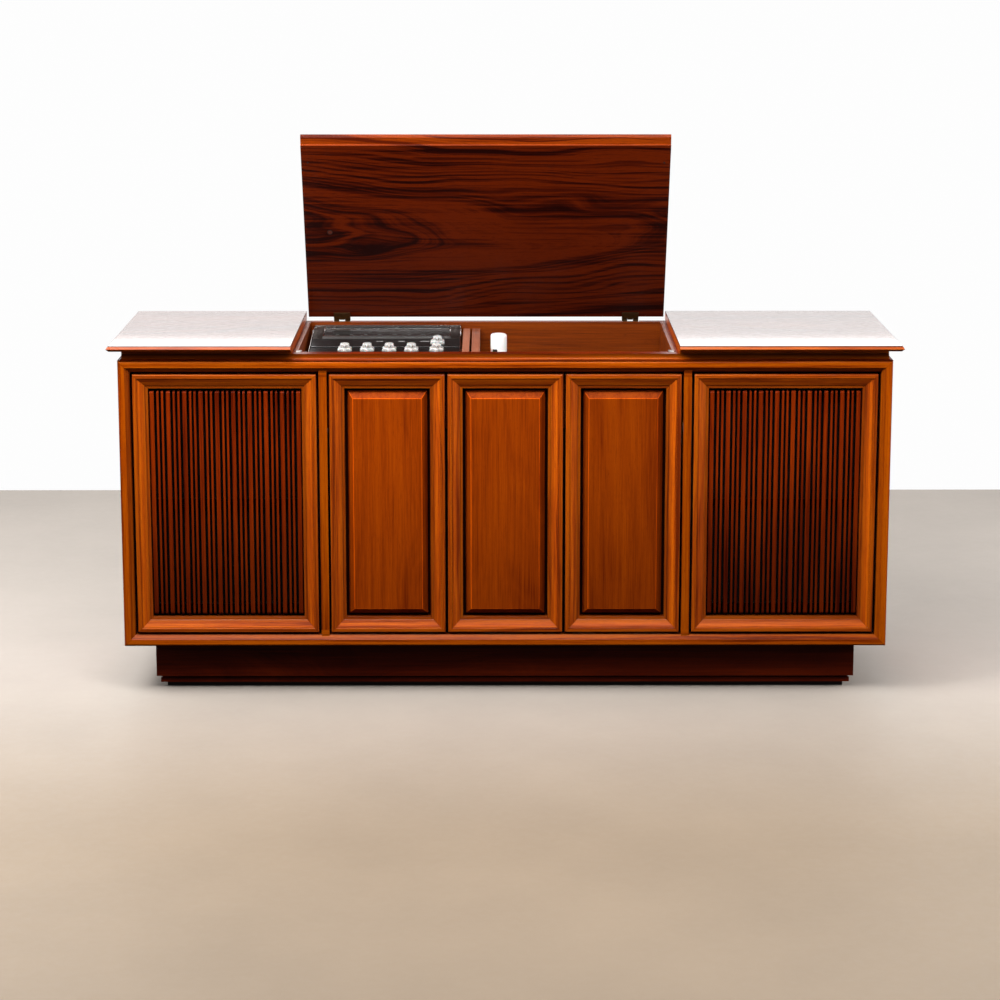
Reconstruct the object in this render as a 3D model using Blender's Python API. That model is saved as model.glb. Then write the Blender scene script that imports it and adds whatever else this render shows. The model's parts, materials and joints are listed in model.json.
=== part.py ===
"""A long, low radio phonograph console, as an assembly of separate parts.

Units are metres and +Z is up. The model is built with x = 0 on the cabinet's middle, y = 0 on the
flat of the front face frame (+y runs to the back) and z = 0 on the floor. At the end everything is
moved along y, so that the origin lies under the middle of the whole object, open lid included.
"""

import math

import bmesh
import bpy
from mathutils import Matrix, Vector

GAP = 0.0003  # clearance left between touching parts

# Cabinet body
BODY_HALF = 0.830
BODY_BACK = 0.456
BODY_BOTTOM = 0.110
BODY_TOP = 0.742
BOARD = 0.018

# Face frame, and the moulded frames set into it
RAIL = 0.025
RAIL_DEPTH = 0.022
REVEAL = 0.0055  # dark gap round each inset frame
STILE_INNER = 0.383
STILE_OUTER = 0.400
STILE_FRONT = 0.006
MOULD_WIDTH = 0.032
MOULD_FRONT = 0.005
MOULD_DEPTH = 0.026
PANEL_WIDTH = 0.248
PANEL_SPACING = 0.006

# Slatted speaker grilles
SLAT_PERIOD = 0.0350
WIDE_SLAT = 0.0088
NARROW_SLAT = 0.0047
SLAT_GAP = 0.0058
SLAT_PERIODS = 9
SLAT_FRONT = 0.019
SLAT_THICK = 0.010
SLAT_LOW = 0.1775
SLAT_HIGH = 0.6738

# Top boards, and the recessed neck that carries them
TOP_SURFACE = 0.777
NECK_INSET = 0.0087
NECK_TOP = 0.756
TOP_BACK = 0.465
TIP_OUT = 0.0206
TOP_LEFT_END = -0.457
TOP_RIGHT_START = 0.372

# Well under the lid
WELL_LEFT = -0.446
WELL_RIGHT = 0.359
WELL_FRONT = 0.035
WELL_BACK = 0.438
WELL_FLOOR = 0.600
LINER = 0.008
BACK_LINER = 0.005
LINER_TOP = 0.7555

# Lid and its two butt hinges
LID_LEFT = -0.452
LID_RIGHT = 0.368
LID_UNDER = 0.757
LID_BACK = 0.4565
LID_OPEN = math.radians(65.2)
PIN_Y = 0.4625
PIN_Z = 0.760
HINGE_X = (-0.375, 0.291)
HINGE_HALF = 0.019
KNUCKLE_R = 0.0035
PIN_R = 0.0012

# Plinth
PLINTH_HALF = 0.768
PLINTH_FRONT = 0.050
PLINTH_BACK = 0.440

# Radio control panel: a plate that falls 7 degrees towards the user
PANEL_SLOPE = math.radians(7)
PANEL_LEFT = -0.4376
PANEL_W = 0.3385
PANEL_LENGTH = 0.245
PANEL_REAR_Z = 0.7465
KNOB_R = 0.0160
KNOB_HEIGHT = 0.020
FRONT_KNOBS = 0.2027  # distance of the knob row from the panel's rear edge
REAR_KNOB = 0.1470
POINTER_HALF_TRAVEL = 0.120

# Record changer
DECK_LEFT, DECK_RIGHT = 0.015, 0.345
DECK_FRONT, DECK_BACK = 0.085, 0.375
DECK_TOP = 0.6123
SPINDLE = Vector((0.155, 0.235))
PLATTER_R = 0.133
RIM_INNER = 0.127
IDLER_R = 0.018
PULLEY_R = 0.0024
ARM_PIVOT = Vector((0.322, 0.330))
ARM_Z = 0.656
ARM_LENGTH = 0.215
OVERARM_PIVOT = Vector((0.045, 0.345))
ADAPTER = Vector((-0.0134, 0.320))
ADAPTER_R = 0.0184
ADAPTER_LOW = 0.6403
ADAPTER_TOP = 0.748

WALNUT = ((0.36, 0.115, 0.030), 0.32, 0.0)
DARK_WALNUT = ((0.16, 0.045, 0.014), 0.35, 0.0)
INNER_WOOD = ((0.33, 0.14, 0.050), 0.55, 0.0)
BLACK_PAINT = ((0.012, 0.011, 0.011), 0.45, 0.0)
HARDBOARD = ((0.16, 0.09, 0.05), 0.85, 0.0)
BRONZE = ((0.16, 0.10, 0.05), 0.45, 0.9)
CHROME = ((0.75, 0.75, 0.76), 0.16, 1.0)
STEEL = ((0.45, 0.45, 0.46), 0.40, 1.0)
GREY_PAINT = ((0.22, 0.21, 0.20), 0.45, 0.0)
BLACK_CLOTH = ((0.012, 0.011, 0.010), 0.95, 0.0)
WHITE_PLASTIC = ((0.86, 0.84, 0.80), 0.28, 0.0)
SMOKED_GLASS = ((0.05, 0.05, 0.055), 0.08, 0.0)
RUBBER = ((0.020, 0.020, 0.021), 0.75, 0.0)
PAPER_CONE = ((0.05, 0.045, 0.04), 0.90, 0.0)
RED_PLASTIC = ((0.60, 0.05, 0.02), 0.35, 0.0)


# ---------------------------------------------------------------------------------------------
# Modelling helpers


def clear_scene():
    for obj in list(bpy.data.objects):
        bpy.data.objects.remove(obj, do_unlink=True)


def material(name, finish):
    colour, roughness, metallic = finish
    made = bpy.data.materials.new(name)
    made.use_nodes = True
    shader = made.node_tree.nodes["Principled BSDF"]
    shader.inputs["Base Color"].default_value = (*colour, 1.0)
    shader.inputs["Roughness"].default_value = roughness
    shader.inputs["Metallic"].default_value = metallic
    made.diffuse_color = (*colour, 1.0)
    return made


def add(name, loops, finish, closed=False, origin=(0, 0, 0), parent=None, smooth=False):
    """A solid from a stack of loops with equal point counts.

    The ends are capped, or joined to each other when closed is true, which makes a ring.
    """
    mesh = bpy.data.meshes.new(name)
    shape = bmesh.new()
    rows = [[shape.verts.new(Vector(point) - Vector(origin)) for point in loop] for loop in loops]
    count = len(rows[0])
    pairs = list(zip(rows, rows[1:])) + ([(rows[-1], rows[0])] if closed else [])
    for low, high in pairs:
        for i in range(count):
            j = (i + 1) % count
            shape.faces.new((low[i], low[j], high[j], high[i]))
    if not closed:
        shape.faces.new(rows[0][::-1])
        shape.faces.new(rows[-1])
    bmesh.ops.recalc_face_normals(shape, faces=shape.faces)
    shape.to_mesh(mesh)
    shape.free()
    obj = bpy.data.objects.new(name, mesh)
    obj.location = origin
    obj.parent = parent
    mesh.materials.append(material(name, finish))
    bpy.context.scene.collection.objects.link(obj)
    if smooth:
        mesh.shade_smooth()
        mesh.set_sharp_from_angle(angle=math.radians(35))
    return obj


def rect_z(x, y, z):
    """A rectangle at one height; x and y are (low, high)."""
    return [(x[0], y[0], z), (x[1], y[0], z), (x[1], y[1], z), (x[0], y[1], z)]


def rect_y(x, z, y):
    """A rectangle that faces the front, at one depth."""
    return [(x[0], y, z[0]), (x[1], y, z[0]), (x[1], y, z[1]), (x[0], y, z[1])]


def block(name, x, y, z, finish, parent=None):
    """A plain board, with its origin at its centre."""
    centre = tuple((low + high) / 2 for low, high in (x, y, z))
    return add(name, [rect_z(x, y, z[0]), rect_z(x, y, z[1])], finish, origin=centre, parent=parent)


def circle(radius, z, count, centre=(0, 0), wave=0.0, lobes=0):
    """Points round a vertical axis; wave and lobes scallop the outline."""
    points = []
    for i in range(count):
        turn = 2 * math.pi * i / count
        r = radius * (1 + wave * math.cos(lobes * turn))
        points.append((centre[0] + r * math.cos(turn), centre[1] + r * math.sin(turn), z))
    return points


def turned(name, profile, finish, centre=(0, 0), count=32, parent=None, base=0.0, hollow=False):
    """A part turned on a vertical axis from (radius, height) points.

    A hollow part's profile is a closed outline that stays off the axis.
    """
    loops = [circle(r, z, count, centre) for r, z in profile]
    origin = (centre[0], centre[1], base)
    return add(name, loops, finish, closed=hollow, origin=origin, parent=parent, smooth=True)


def rod(name, radius, low, high, finish, centre=(0, 0), count=16, parent=None):
    return turned(name, [(radius, low), (radius, high)], finish, centre, count, parent)


def rod_x(name, radius, x, y, z, finish, count=16, parent=None):
    """A rod along x, at one y and z."""
    loops = [
        [(at, y + radius * math.cos(t), z + radius * math.sin(t)) for t in steps(count)] for at in x
    ]
    return add(name, loops, finish, parent=parent, smooth=True)


def steps(count):
    return [2 * math.pi * i / count for i in range(count)]


def boolean(target, tool, operation):
    """Cuts a tool from a part, or joins it to the part, and hides the tool."""
    modifier = target.modifiers.new(tool.name, "BOOLEAN")
    modifier.operation = operation
    modifier.object = tool
    tool.hide_render = True
    tool.display_type = "WIRE"


def cut(target, *tools):
    for tool in tools:
        boolean(target, tool, "DIFFERENCE")


def join(target, *tools):
    for tool in tools:
        boolean(target, tool, "UNION")


def moulded_frame(name, x, z, profile, finish):
    """A mitred frame. The profile is a closed outline of (inset, depth) points."""
    loops = []
    for inset, depth in profile:
        loops.append(rect_y((x[0] + inset, x[1] - inset), (z[0] + inset, z[1] - inset), depth))
    return add(name, loops, finish, closed=True)


# ---------------------------------------------------------------------------------------------
# Cabinet


def make_plinth():
    def outline(offset, z):
        x = PLINTH_HALF + offset
        return rect_z((-x, x), (PLINTH_FRONT - offset, PLINTH_BACK + offset), z)

    top = BODY_BOTTOM - GAP
    fascia = [(0, top), (0, 0.028), (-0.012, 0.026), (-0.012, 0.0235), (-0.008, 0.0220), (-0.008, 0.0120)]
    inside = [(-0.030, 0.0120), (-0.030, top)]
    add("plinth_frame", [outline(*p) for p in fascia + inside], DARK_WALNUT, closed=True)
    rail = [(-0.021, 0.0120 - GAP), (-0.021, 0.0), (-0.060, 0.0), (-0.060, 0.0120 - GAP)]
    add("plinth_base", [outline(*p) for p in rail], BLACK_PAINT, closed=True)


def make_carcase():
    behind_face = RAIL_DEPTH + GAP
    inner_half = BODY_HALF - BOARD - GAP
    back_front = BODY_BACK - 0.006
    y = (behind_face, BODY_BACK)
    for side, name in ((-1, "left"), (1, "right")):
        x = sorted((side * BODY_HALF, side * (BODY_HALF - BOARD)))
        block(f"{name}_side_panel", x, y, (BODY_BOTTOM, BODY_TOP), WALNUT)
        x = sorted((side * STILE_INNER, side * (STILE_OUTER - 0.001)))
        z = (BODY_BOTTOM + BOARD + GAP, WELL_FLOOR - 0.012 - GAP)
        block(f"{name}_partition", x, (0.0373, back_front - GAP), z, INNER_WOOD)
    y_floor = (behind_face, back_front - GAP)
    floor = block("bottom_panel", (-inner_half, inner_half), y_floor, (BODY_BOTTOM, BODY_BOTTOM + BOARD), INNER_WOOD)
    for x in (-0.127, 0.127):
        z = (BODY_BOTTOM + BOARD - 0.001, WELL_FLOOR - 0.012 - GAP)
        join(floor, block("post", (x - 0.020, x + 0.020), (0.0355, 0.0540), z, INNER_WOOD))
    z = (BODY_BOTTOM + GAP, BODY_TOP - GAP)
    back = block("back_panel", (-inner_half, inner_half), (back_front, BODY_BACK), z, HARDBOARD)
    cutters = []
    for row in (0.24, 0.50):
        for column in range(-4, 5):
            x = column * 0.165
            slot = block("vent", (x - 0.05, x + 0.05), (back_front - 0.01, BODY_BACK + 0.01), (row, row + 0.010),
                         HARDBOARD)
            cutters.append(slot)
    cut(back, *cutters)


def make_gland():
    """Where the mains lead leaves the back panel: a flanged bush in a round hole."""
    x, z, flange = 0.60, 0.17, 0.012
    loops = []
    for r, y in ((flange, BODY_BACK + GAP), (flange, BODY_BACK + 0.004), (0.0075, BODY_BACK + 0.010),
                 (0.0042, BODY_BACK + 0.010), (0.0042, BODY_BACK + GAP)):
        loops.append([(x + r * math.cos(t), y, z + r * math.sin(t)) for t in steps(20)])
    add("mains_gland", loops, BLACK_PAINT, closed=True, smooth=True)


def make_face_frame():
    """Mitred outer frame with a rounded outer arris, and the two stiles beside the centre panels."""
    r = 0.0065
    arc = [(r - r * math.cos(a), r - r * math.sin(a)) for a in (math.radians(d) for d in (0, 22.5, 45, 67.5, 90))]
    profile = [(0, RAIL_DEPTH), *arc, (0.0150, 0), (RAIL, 0.009), (RAIL, RAIL_DEPTH)]
    frame = moulded_frame("face_frame", (-BODY_HALF, BODY_HALF), (BODY_BOTTOM, BODY_TOP), profile, WALNUT)
    for side in (-1, 1):
        x = sorted((side * STILE_INNER, side * STILE_OUTER))
        z = (BODY_BOTTOM + RAIL - 0.003, BODY_TOP - RAIL + 0.003)
        join(frame, block("stile", x, (STILE_FRONT, RAIL_DEPTH - 0.001), z, WALNUT))


def frame_profile():
    """Flat outer band, a quirk, a falling ogee and an inner step."""
    face = [(0.0015, 0), (0.0088, 0), (0.0094, 0.0022), (0.0108, 0.0020), (0.0150, 0.0040), (0.0205, 0.0072),
            (0.0254, 0.0092), (0.0261, 0.0106), (MOULD_WIDTH, 0.0112)]
    outline = [(0, MOULD_DEPTH), (0, 0.0015), *face, (MOULD_WIDTH, MOULD_DEPTH)]
    return [(inset, MOULD_FRONT + depth) for inset, depth in outline]


def frame_heights():
    return BODY_BOTTOM + RAIL + REVEAL, BODY_TOP - RAIL - REVEAL


def make_centre_panels():
    """Three fixed, fielded panels, each in its own mitred frame."""
    z = frame_heights()
    for index, name in enumerate(("left", "centre", "right")):
        middle = (index - 1) * (PANEL_WIDTH + PANEL_SPACING)
        x = (middle - PANEL_WIDTH / 2, middle + PANEL_WIDTH / 2)
        moulded_frame(f"{name}_panel_frame", x, z, frame_profile(), WALNUT)
        back = MOULD_FRONT + MOULD_DEPTH + 0.0005
        field = [(-0.005, back + 0.0038, 0), (-0.005, back, 0), (0.0063, back, 0), (0.0063, 0.0270, 0),
                 (0.0179, 0.0145, 0.0042)]
        loops = []
        for inset, depth, lower in field:
            shrink = MOULD_WIDTH + inset
            field_z = (z[0] + shrink, z[1] - shrink - lower)
            loops.append(rect_y((x[0] + shrink, x[1] - shrink), field_z, depth))
        add(f"{name}_raised_panel", loops, WALNUT)


def grille_slats(name, middle):
    """Wide, narrow, narrow slats with bevelled ends, glued to three black battens."""
    width = SLAT_PERIODS * SLAT_PERIOD + WIDE_SLAT
    start = middle - width / 2
    places = []
    for i in range(SLAT_PERIODS):
        left = start + i * SLAT_PERIOD
        places.append((left, WIDE_SLAT))
        left += WIDE_SLAT + SLAT_GAP
        places.append((left, NARROW_SLAT))
        left += NARROW_SLAT + SLAT_GAP - 0.0006
        places.append((left, NARROW_SLAT))
    places.append((start + SLAT_PERIODS * SLAT_PERIOD, WIDE_SLAT))
    back, bevel = SLAT_FRONT + SLAT_THICK, 0.004
    slats = []
    for left, slat_width in places:
        x = (left, left + slat_width)
        loops = [rect_y(x, (SLAT_LOW, SLAT_HIGH), back), rect_y(x, (SLAT_LOW, SLAT_HIGH), SLAT_FRONT + bevel),
                 rect_y(x, (SLAT_LOW + bevel, SLAT_HIGH - bevel), SLAT_FRONT)]
        slats.append(add("slat", loops, WALNUT))
    middle_z = (SLAT_LOW + SLAT_HIGH) / 2
    battens = []
    for z in ((SLAT_LOW + 0.004, SLAT_LOW + 0.022), (middle_z - 0.008, middle_z + 0.008),
              (SLAT_HIGH - 0.022, SLAT_HIGH - 0.004)):
        battens.append(block("batten", (start + 0.0004, start + width - 0.0004), (back - 0.001, back + 0.0045), z,
                             BLACK_PAINT))
    first = slats[0]
    first.name = name
    join(first, *battens, *slats[1:])


def make_grilles():
    z = frame_heights()
    outer = BODY_HALF - RAIL - REVEAL
    inner = STILE_OUTER + REVEAL
    middle = (outer + inner) / 2
    for side, name in ((-1, "left"), (1, "right")):
        x = sorted((side * outer, side * inner))
        moulded_frame(f"{name}_grille_frame", x, z, frame_profile(), WALNUT)
        grille_slats(f"{name}_grille_slats", side * middle)
        tuck = MOULD_WIDTH - 0.006
        cloth_x = (x[0] + tuck, x[1] - tuck)
        cloth_z = (z[0] + tuck, z[1] - tuck)
        block(f"{name}_grille_cloth", cloth_x, (0.0348, 0.0365), cloth_z, BLACK_CLOTH)
        make_speaker(name, side * middle, x)


def make_speaker(name, middle, x):
    """A 300 mm speaker with a whizzer cone, screwed behind its baffle board."""
    centre_z, front, back = 0.365, 0.0370, 0.0550
    side = math.copysign(1, middle)
    width = sorted((side * (STILE_OUTER - 0.001 + GAP), side * (BODY_HALF - BOARD - GAP)))
    height = (BODY_BOTTOM + BOARD + GAP, BODY_TOP - GAP)
    baffle = block(f"{name}_speaker_baffle", width, (front, back), height, INNER_WOOD)
    if side < 0:
        corner = (WELL_LEFT - LINER - GAP, 0)
        cut(baffle, block("notch", corner, (front - 0.01, back + 0.01), (WELL_FLOOR - 0.012 - GAP, 1), INNER_WOOD))
    hole = [[(middle + 0.131 * math.cos(t), y, centre_z + 0.131 * math.sin(t)) for t in steps(48)]
            for y in (front - 0.01, back + 0.01)]
    cut(baffle, add("hole", hole, INNER_WOOD))
    mount = back + GAP
    profile = [(0.052, 0.155), (0.056, 0.150), (0.056, 0.118), (0.040, 0.112), (0.128, 0.012), (0.150, 0.004),
               (0.150, 0), (0.129, 0), (0.124, -0.004), (0.116, 0.002), (0.040, 0.060), (0.034, 0.036),
               (0.030, 0.036), (0.024, 0.060), (0.014, 0.052)]
    loops = [[(middle + r * math.cos(t), mount + y, centre_z + r * math.sin(t)) for t in steps(24)]
             for r, y in profile]
    add(f"{name}_speaker", loops, PAPER_CONE, smooth=True)


# ---------------------------------------------------------------------------------------------
# Top: neck, fixed boards, lid and hinges


def make_neck():
    """The recessed board under the tops, with the mouth of the well through it."""
    def outline(offset, z):
        x = BODY_HALF + offset
        return rect_z((-x, x), (-offset, BODY_BACK), z)

    low = BODY_TOP + GAP
    cove_high = low + 0.0072
    cove = []
    for turn in (0, 22.5, 45, 67.5, 90):
        a = math.radians(turn)
        cove.append((-NECK_INSET * math.sin(a), cove_high - (cove_high - low) * math.cos(a)))
    mouth_x = (WELL_LEFT - LINER - GAP, WELL_RIGHT + LINER + GAP)
    mouth_y = (WELL_FRONT, WELL_BACK + BACK_LINER + GAP)
    loops = [outline(*p) for p in cove] + [outline(-NECK_INSET, NECK_TOP)]
    loops += [rect_z(mouth_x, mouth_y, NECK_TOP), rect_z(mouth_x, mouth_y, low)]
    neck = add("top_neck_frame", loops, WALNUT, closed=True)
    for x in HINGE_X:
        span = (x - HINGE_HALF - 0.001, x + HINGE_HALF + 0.001)
        cut(neck, block("mortise", span, (WELL_BACK, BODY_BACK + 0.01), (0.7522, NECK_TOP + 0.01), WALNUT))


def board_edge(under, inset):
    """(overhang, height) points of the moulded edge, from the underside up to the top surface."""
    return [(-inset, under), (-inset, 0.7612), (0.0150, 0.7650), (TIP_OUT, 0.7700),
            (TIP_OUT - 0.0048, TOP_SURFACE)]


def make_fixed_tops():
    edge = board_edge(NECK_TOP + GAP, NECK_INSET)
    left, right = [], []
    for out, z in edge:
        left.append(rect_z((-BODY_HALF - out, TOP_LEFT_END), (-out, TOP_BACK), z))
        right.append(rect_z((TOP_RIGHT_START, BODY_HALF + out), (-out, TOP_BACK), z))
    add("left_fixed_top", left, WALNUT)
    add("right_fixed_top", right, WALNUT)


def make_lid():
    """The lid and its hinge leaves hang from an empty on the pin, which holds them open."""
    axis = bpy.data.objects.new("lid_hinge_axis", None)
    axis.location = (0, PIN_Y, PIN_Z)
    axis.rotation_euler = (-LID_OPEN, 0, 0)
    bpy.context.scene.collection.objects.link(axis)

    def local(loop):
        return [(x, y - PIN_Y, z - PIN_Z) for x, y, z in loop]

    loops = [local(rect_z((LID_LEFT, LID_RIGHT), (-out, LID_BACK), z)) for out, z in board_edge(LID_UNDER, 0.0003)]
    add("lid", loops, WALNUT, parent=axis)
    for x, name in zip(HINGE_X, ("left", "right")):
        make_hinge(name, x, axis)


def make_hinge(name, x, axis):
    """A butt hinge: the fixed leaf carries the pin and two knuckles, the moving leaf the middle one."""
    span = (x - HINGE_HALF, x + HINGE_HALF)
    third = 2 * HINGE_HALF / 3
    ends = ((span[0], span[0] + third - GAP), (span[1] - third + GAP, span[1]))
    fixed = block(f"{name}_hinge_fixed_leaf", span, (0.4440, 0.4612), (0.7525, 0.7540), BRONZE)
    for end in ends:
        join(fixed, block("upright", end, (0.4592, 0.4612), (0.7530, PIN_Z), BRONZE),
             rod_x("knuckle", KNUCKLE_R, end, PIN_Y, PIN_Z, BRONZE))
    join(fixed, rod_x("pin", PIN_R, (span[0] + 0.001, span[1] - 0.001), PIN_Y, PIN_Z, BRONZE, count=12))
    middle = (x - third / 2 + GAP, x + third / 2 - GAP)

    def y(*values):
        return tuple(value - PIN_Y for value in values)

    def z(*values):
        return tuple(value - PIN_Z for value in values)

    moving = block(f"{name}_hinge_moving_leaf", span, y(0.4440, 0.4588), z(0.7545, 0.7567), BRONZE, axis)
    join(moving, block("tongue", middle, y(0.4580, 0.4612), z(0.7545, PIN_Z), BRONZE, axis),
         rod_x("middle_knuckle", KNUCKLE_R, middle, 0, 0, BRONZE, parent=axis))
    longer = (middle[0] - 0.002, middle[1] + 0.002)
    cut(moving, rod_x("bore", PIN_R + 0.0004, longer, 0, 0, BRONZE, count=12, parent=axis))


# ---------------------------------------------------------------------------------------------
# Well


def make_well():
    """Box that lines the well, its floor board, and the two boards beside the changer."""
    outer_x = (WELL_LEFT - LINER, WELL_RIGHT + LINER)
    outer_y = (0.0370, WELL_BACK + BACK_LINER)
    inner_x = (WELL_LEFT, WELL_RIGHT)
    inner_y = (0.0450, WELL_BACK)
    low = WELL_FLOOR - 0.012
    loops = [rect_z(outer_x, outer_y, low), rect_z(outer_x, outer_y, LINER_TOP),
             rect_z(inner_x, inner_y, LINER_TOP), rect_z(inner_x, inner_y, low)]
    box = add("well_box", loops, INNER_WOOD, closed=True)
    lowered = (BODY_TOP - 0.0005, LINER_TOP + 0.01)
    cut(box, block("front_step", (outer_x[0] - 0.01, outer_x[1] + 0.01), (0.030, 0.0451), lowered, INNER_WOOD))
    filler_back = WELL_BACK - (PANEL_LENGTH + 0.002) * math.cos(PANEL_SLOPE)
    filler = block("filler", (WELL_LEFT - 0.001, -0.0947), (0.0440, filler_back), (0.700, 0.712), INNER_WOOD)
    join(box, filler)

    floor_x = (WELL_LEFT + GAP, WELL_RIGHT - GAP)
    floor = block("well_floor", floor_x, (0.0453, WELL_BACK - GAP), (low, WELL_FLOOR), INNER_WOOD)
    stand = (ADAPTER.x - 0.020, ADAPTER.x + 0.020)
    join(floor, block("adapter_stand", stand, (ADAPTER.y - 0.020, ADAPTER.y + 0.020),
                      (WELL_FLOOR - 0.002, ADAPTER_LOW - GAP), INNER_WOOD))
    cut(floor, block("changer_cutout", (DECK_LEFT + 0.02, DECK_RIGHT - 0.02), (DECK_FRONT + 0.02, DECK_BACK - 0.02),
                     (low - 0.01, WELL_FLOOR + 0.01), INNER_WOOD))

    y = (0.0453, WELL_BACK - GAP)
    z = (WELL_FLOOR + GAP, 0.740)
    block("tuner_side_board", (-0.0944, -0.0785), y, z, INNER_WOOD)
    block("changer_side_board", (-0.0739, -0.0555), y, z, INNER_WOOD)


# ---------------------------------------------------------------------------------------------
# Radio


def make_chassis():
    """Amplifier and tuner chassis, with its transformer, coil cans and capacitors."""
    x = (PANEL_LEFT + 0.003 + GAP, PANEL_LEFT + PANEL_W - 0.003 - GAP)
    chassis = block("tuner_chassis", x, (0.215, 0.425), (WELL_FLOOR + GAP, 0.650), STEEL)
    join(chassis, block("transformer", (-0.405, -0.320), (0.345, 0.415), (0.645, 0.700), BLACK_PAINT))
    for i in range(4):
        can = (-0.285 + i * 0.040, -0.262 + i * 0.040)
        join(chassis, block("coil_can", can, (0.360, 0.383), (0.645, 0.695), STEEL))
    for i in range(3):
        join(chassis, rod("capacitor", 0.013, 0.645, 0.690, STEEL, (-0.385 + i * 0.045, 0.300)))


def make_control_panel():
    """Sloped plate with a dial pocket. Everything on it is placed in the plate's own frame."""
    plane = bpy.data.objects.new("control_panel_plane", None)
    plane.location = (PANEL_LEFT, WELL_BACK - GAP, PANEL_REAR_Z)
    plane.rotation_euler = (PANEL_SLOPE, 0, 0)
    bpy.context.scene.collection.objects.link(plane)

    plate = block("control_panel", (0, PANEL_W), (-PANEL_LENGTH, -0.001), (-0.0035, 0), BLACK_PAINT, plane)
    for x in ((0, 0.003), (PANEL_W - 0.003, PANEL_W)):
        join(plate, block("skirt", x, (-PANEL_LENGTH + 0.004, -0.018), (-0.104, -0.002), BLACK_PAINT, plane))
    window_x = (0.0266, PANEL_W - 0.0254)
    window_y = (-0.0870, -0.0140)
    tray_x = (window_x[0] - 0.002, window_x[1] + 0.002)
    tray_y = (window_y[0] - 0.002, window_y[1] + 0.002)
    join(plate, block("tray", tray_x, tray_y, (-0.011, -0.002), BLACK_PAINT, plane))
    cut(plate, block("pocket", window_x, window_y, (-0.0095, 0.01), BLACK_PAINT, plane))

    edge = GAP
    glass_x = (window_x[0] + edge, window_x[1] - edge)
    glass_y = (window_y[0] + edge, window_y[1] - edge)
    block("dial_glass", glass_x, glass_y, (-0.0020, -0.0003), SMOKED_GLASS, plane)
    middle = PANEL_W / 2
    block("dial_pointer", (middle - 0.0008, middle + 0.0008), (-0.0800, -0.0200), (-0.0065, -0.0045), RED_PLASTIC,
          plane)

    row = [("volume_knob", 0.0809), ("bass_knob", 0.1308), ("treble_knob", 0.1803), ("balance_knob", 0.2294),
           ("mode_knob", 0.2856)]
    for name, x in row:
        make_knob(name, (x, -FRONT_KNOBS), plane)
    make_knob("tuning_knob", (0.2864, -REAR_KNOB), plane)


def make_knob(name, place, plane):
    """An eight-lobed dome; its origin is on its shaft's axis at the plate."""
    profile = [(0.0140, 0.0006), (KNOB_R, 0.0022), (KNOB_R, 0.0060), (0.0138, 0.0125), (0.0100, 0.0180),
               (0.0055, KNOB_HEIGHT)]
    loops = [circle(r, z, 32, place, wave=0.055, lobes=8) for r, z in profile]
    add(name, loops, WHITE_PLASTIC, origin=(*place, 0), parent=plane, smooth=True)


# ---------------------------------------------------------------------------------------------
# Record changer


def make_deck():
    """Pressed base plate with the tonearm's rest, holes for the motor shaft, and the drive motor."""
    x, y = (DECK_LEFT, DECK_RIGHT), (DECK_FRONT, DECK_BACK)
    inset = 0.004
    loops = [rect_z(x, y, WELL_FLOOR + GAP), rect_z(x, y, DECK_TOP - 0.004),
             rect_z((x[0] + inset, x[1] - inset), (y[0] + inset, y[1] - inset), DECK_TOP)]
    deck = add("changer_baseplate", loops, GREY_PAINT)
    join(deck, rod("arm_rest", 0.0035, DECK_TOP - 0.002, ARM_Z - 0.0045, GREY_PAINT, (ARM_PIVOT.x, 0.175)))
    motor = motor_place()
    cut(deck, rod("shaft_hole", 0.006, WELL_FLOOR - 0.01, DECK_TOP + 0.01, GREY_PAINT, motor))
    body = block("drive_motor", (motor.x - 0.032, motor.x + 0.032), (motor.y - 0.030, motor.y + 0.030),
                 (0.552, 0.590), STEEL)
    for dx, dy in ((-0.026, -0.024), (0.026, -0.024), (0.0, 0.024)):
        join(body, rod("motor_post", 0.003, 0.585, WELL_FLOOR, STEEL, (motor.x + dx, motor.y + dy)))


def idler_place():
    reach = RIM_INNER - IDLER_R - GAP
    angle = math.radians(60)
    return SPINDLE + reach * Vector((math.cos(angle), math.sin(angle)))


def motor_place():
    """The pulley stands between the spindle and the idler, against the idler's rim."""
    inward = (SPINDLE - idler_place()).normalized()
    return idler_place() + (IDLER_R + PULLEY_R + GAP) * inward


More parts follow.
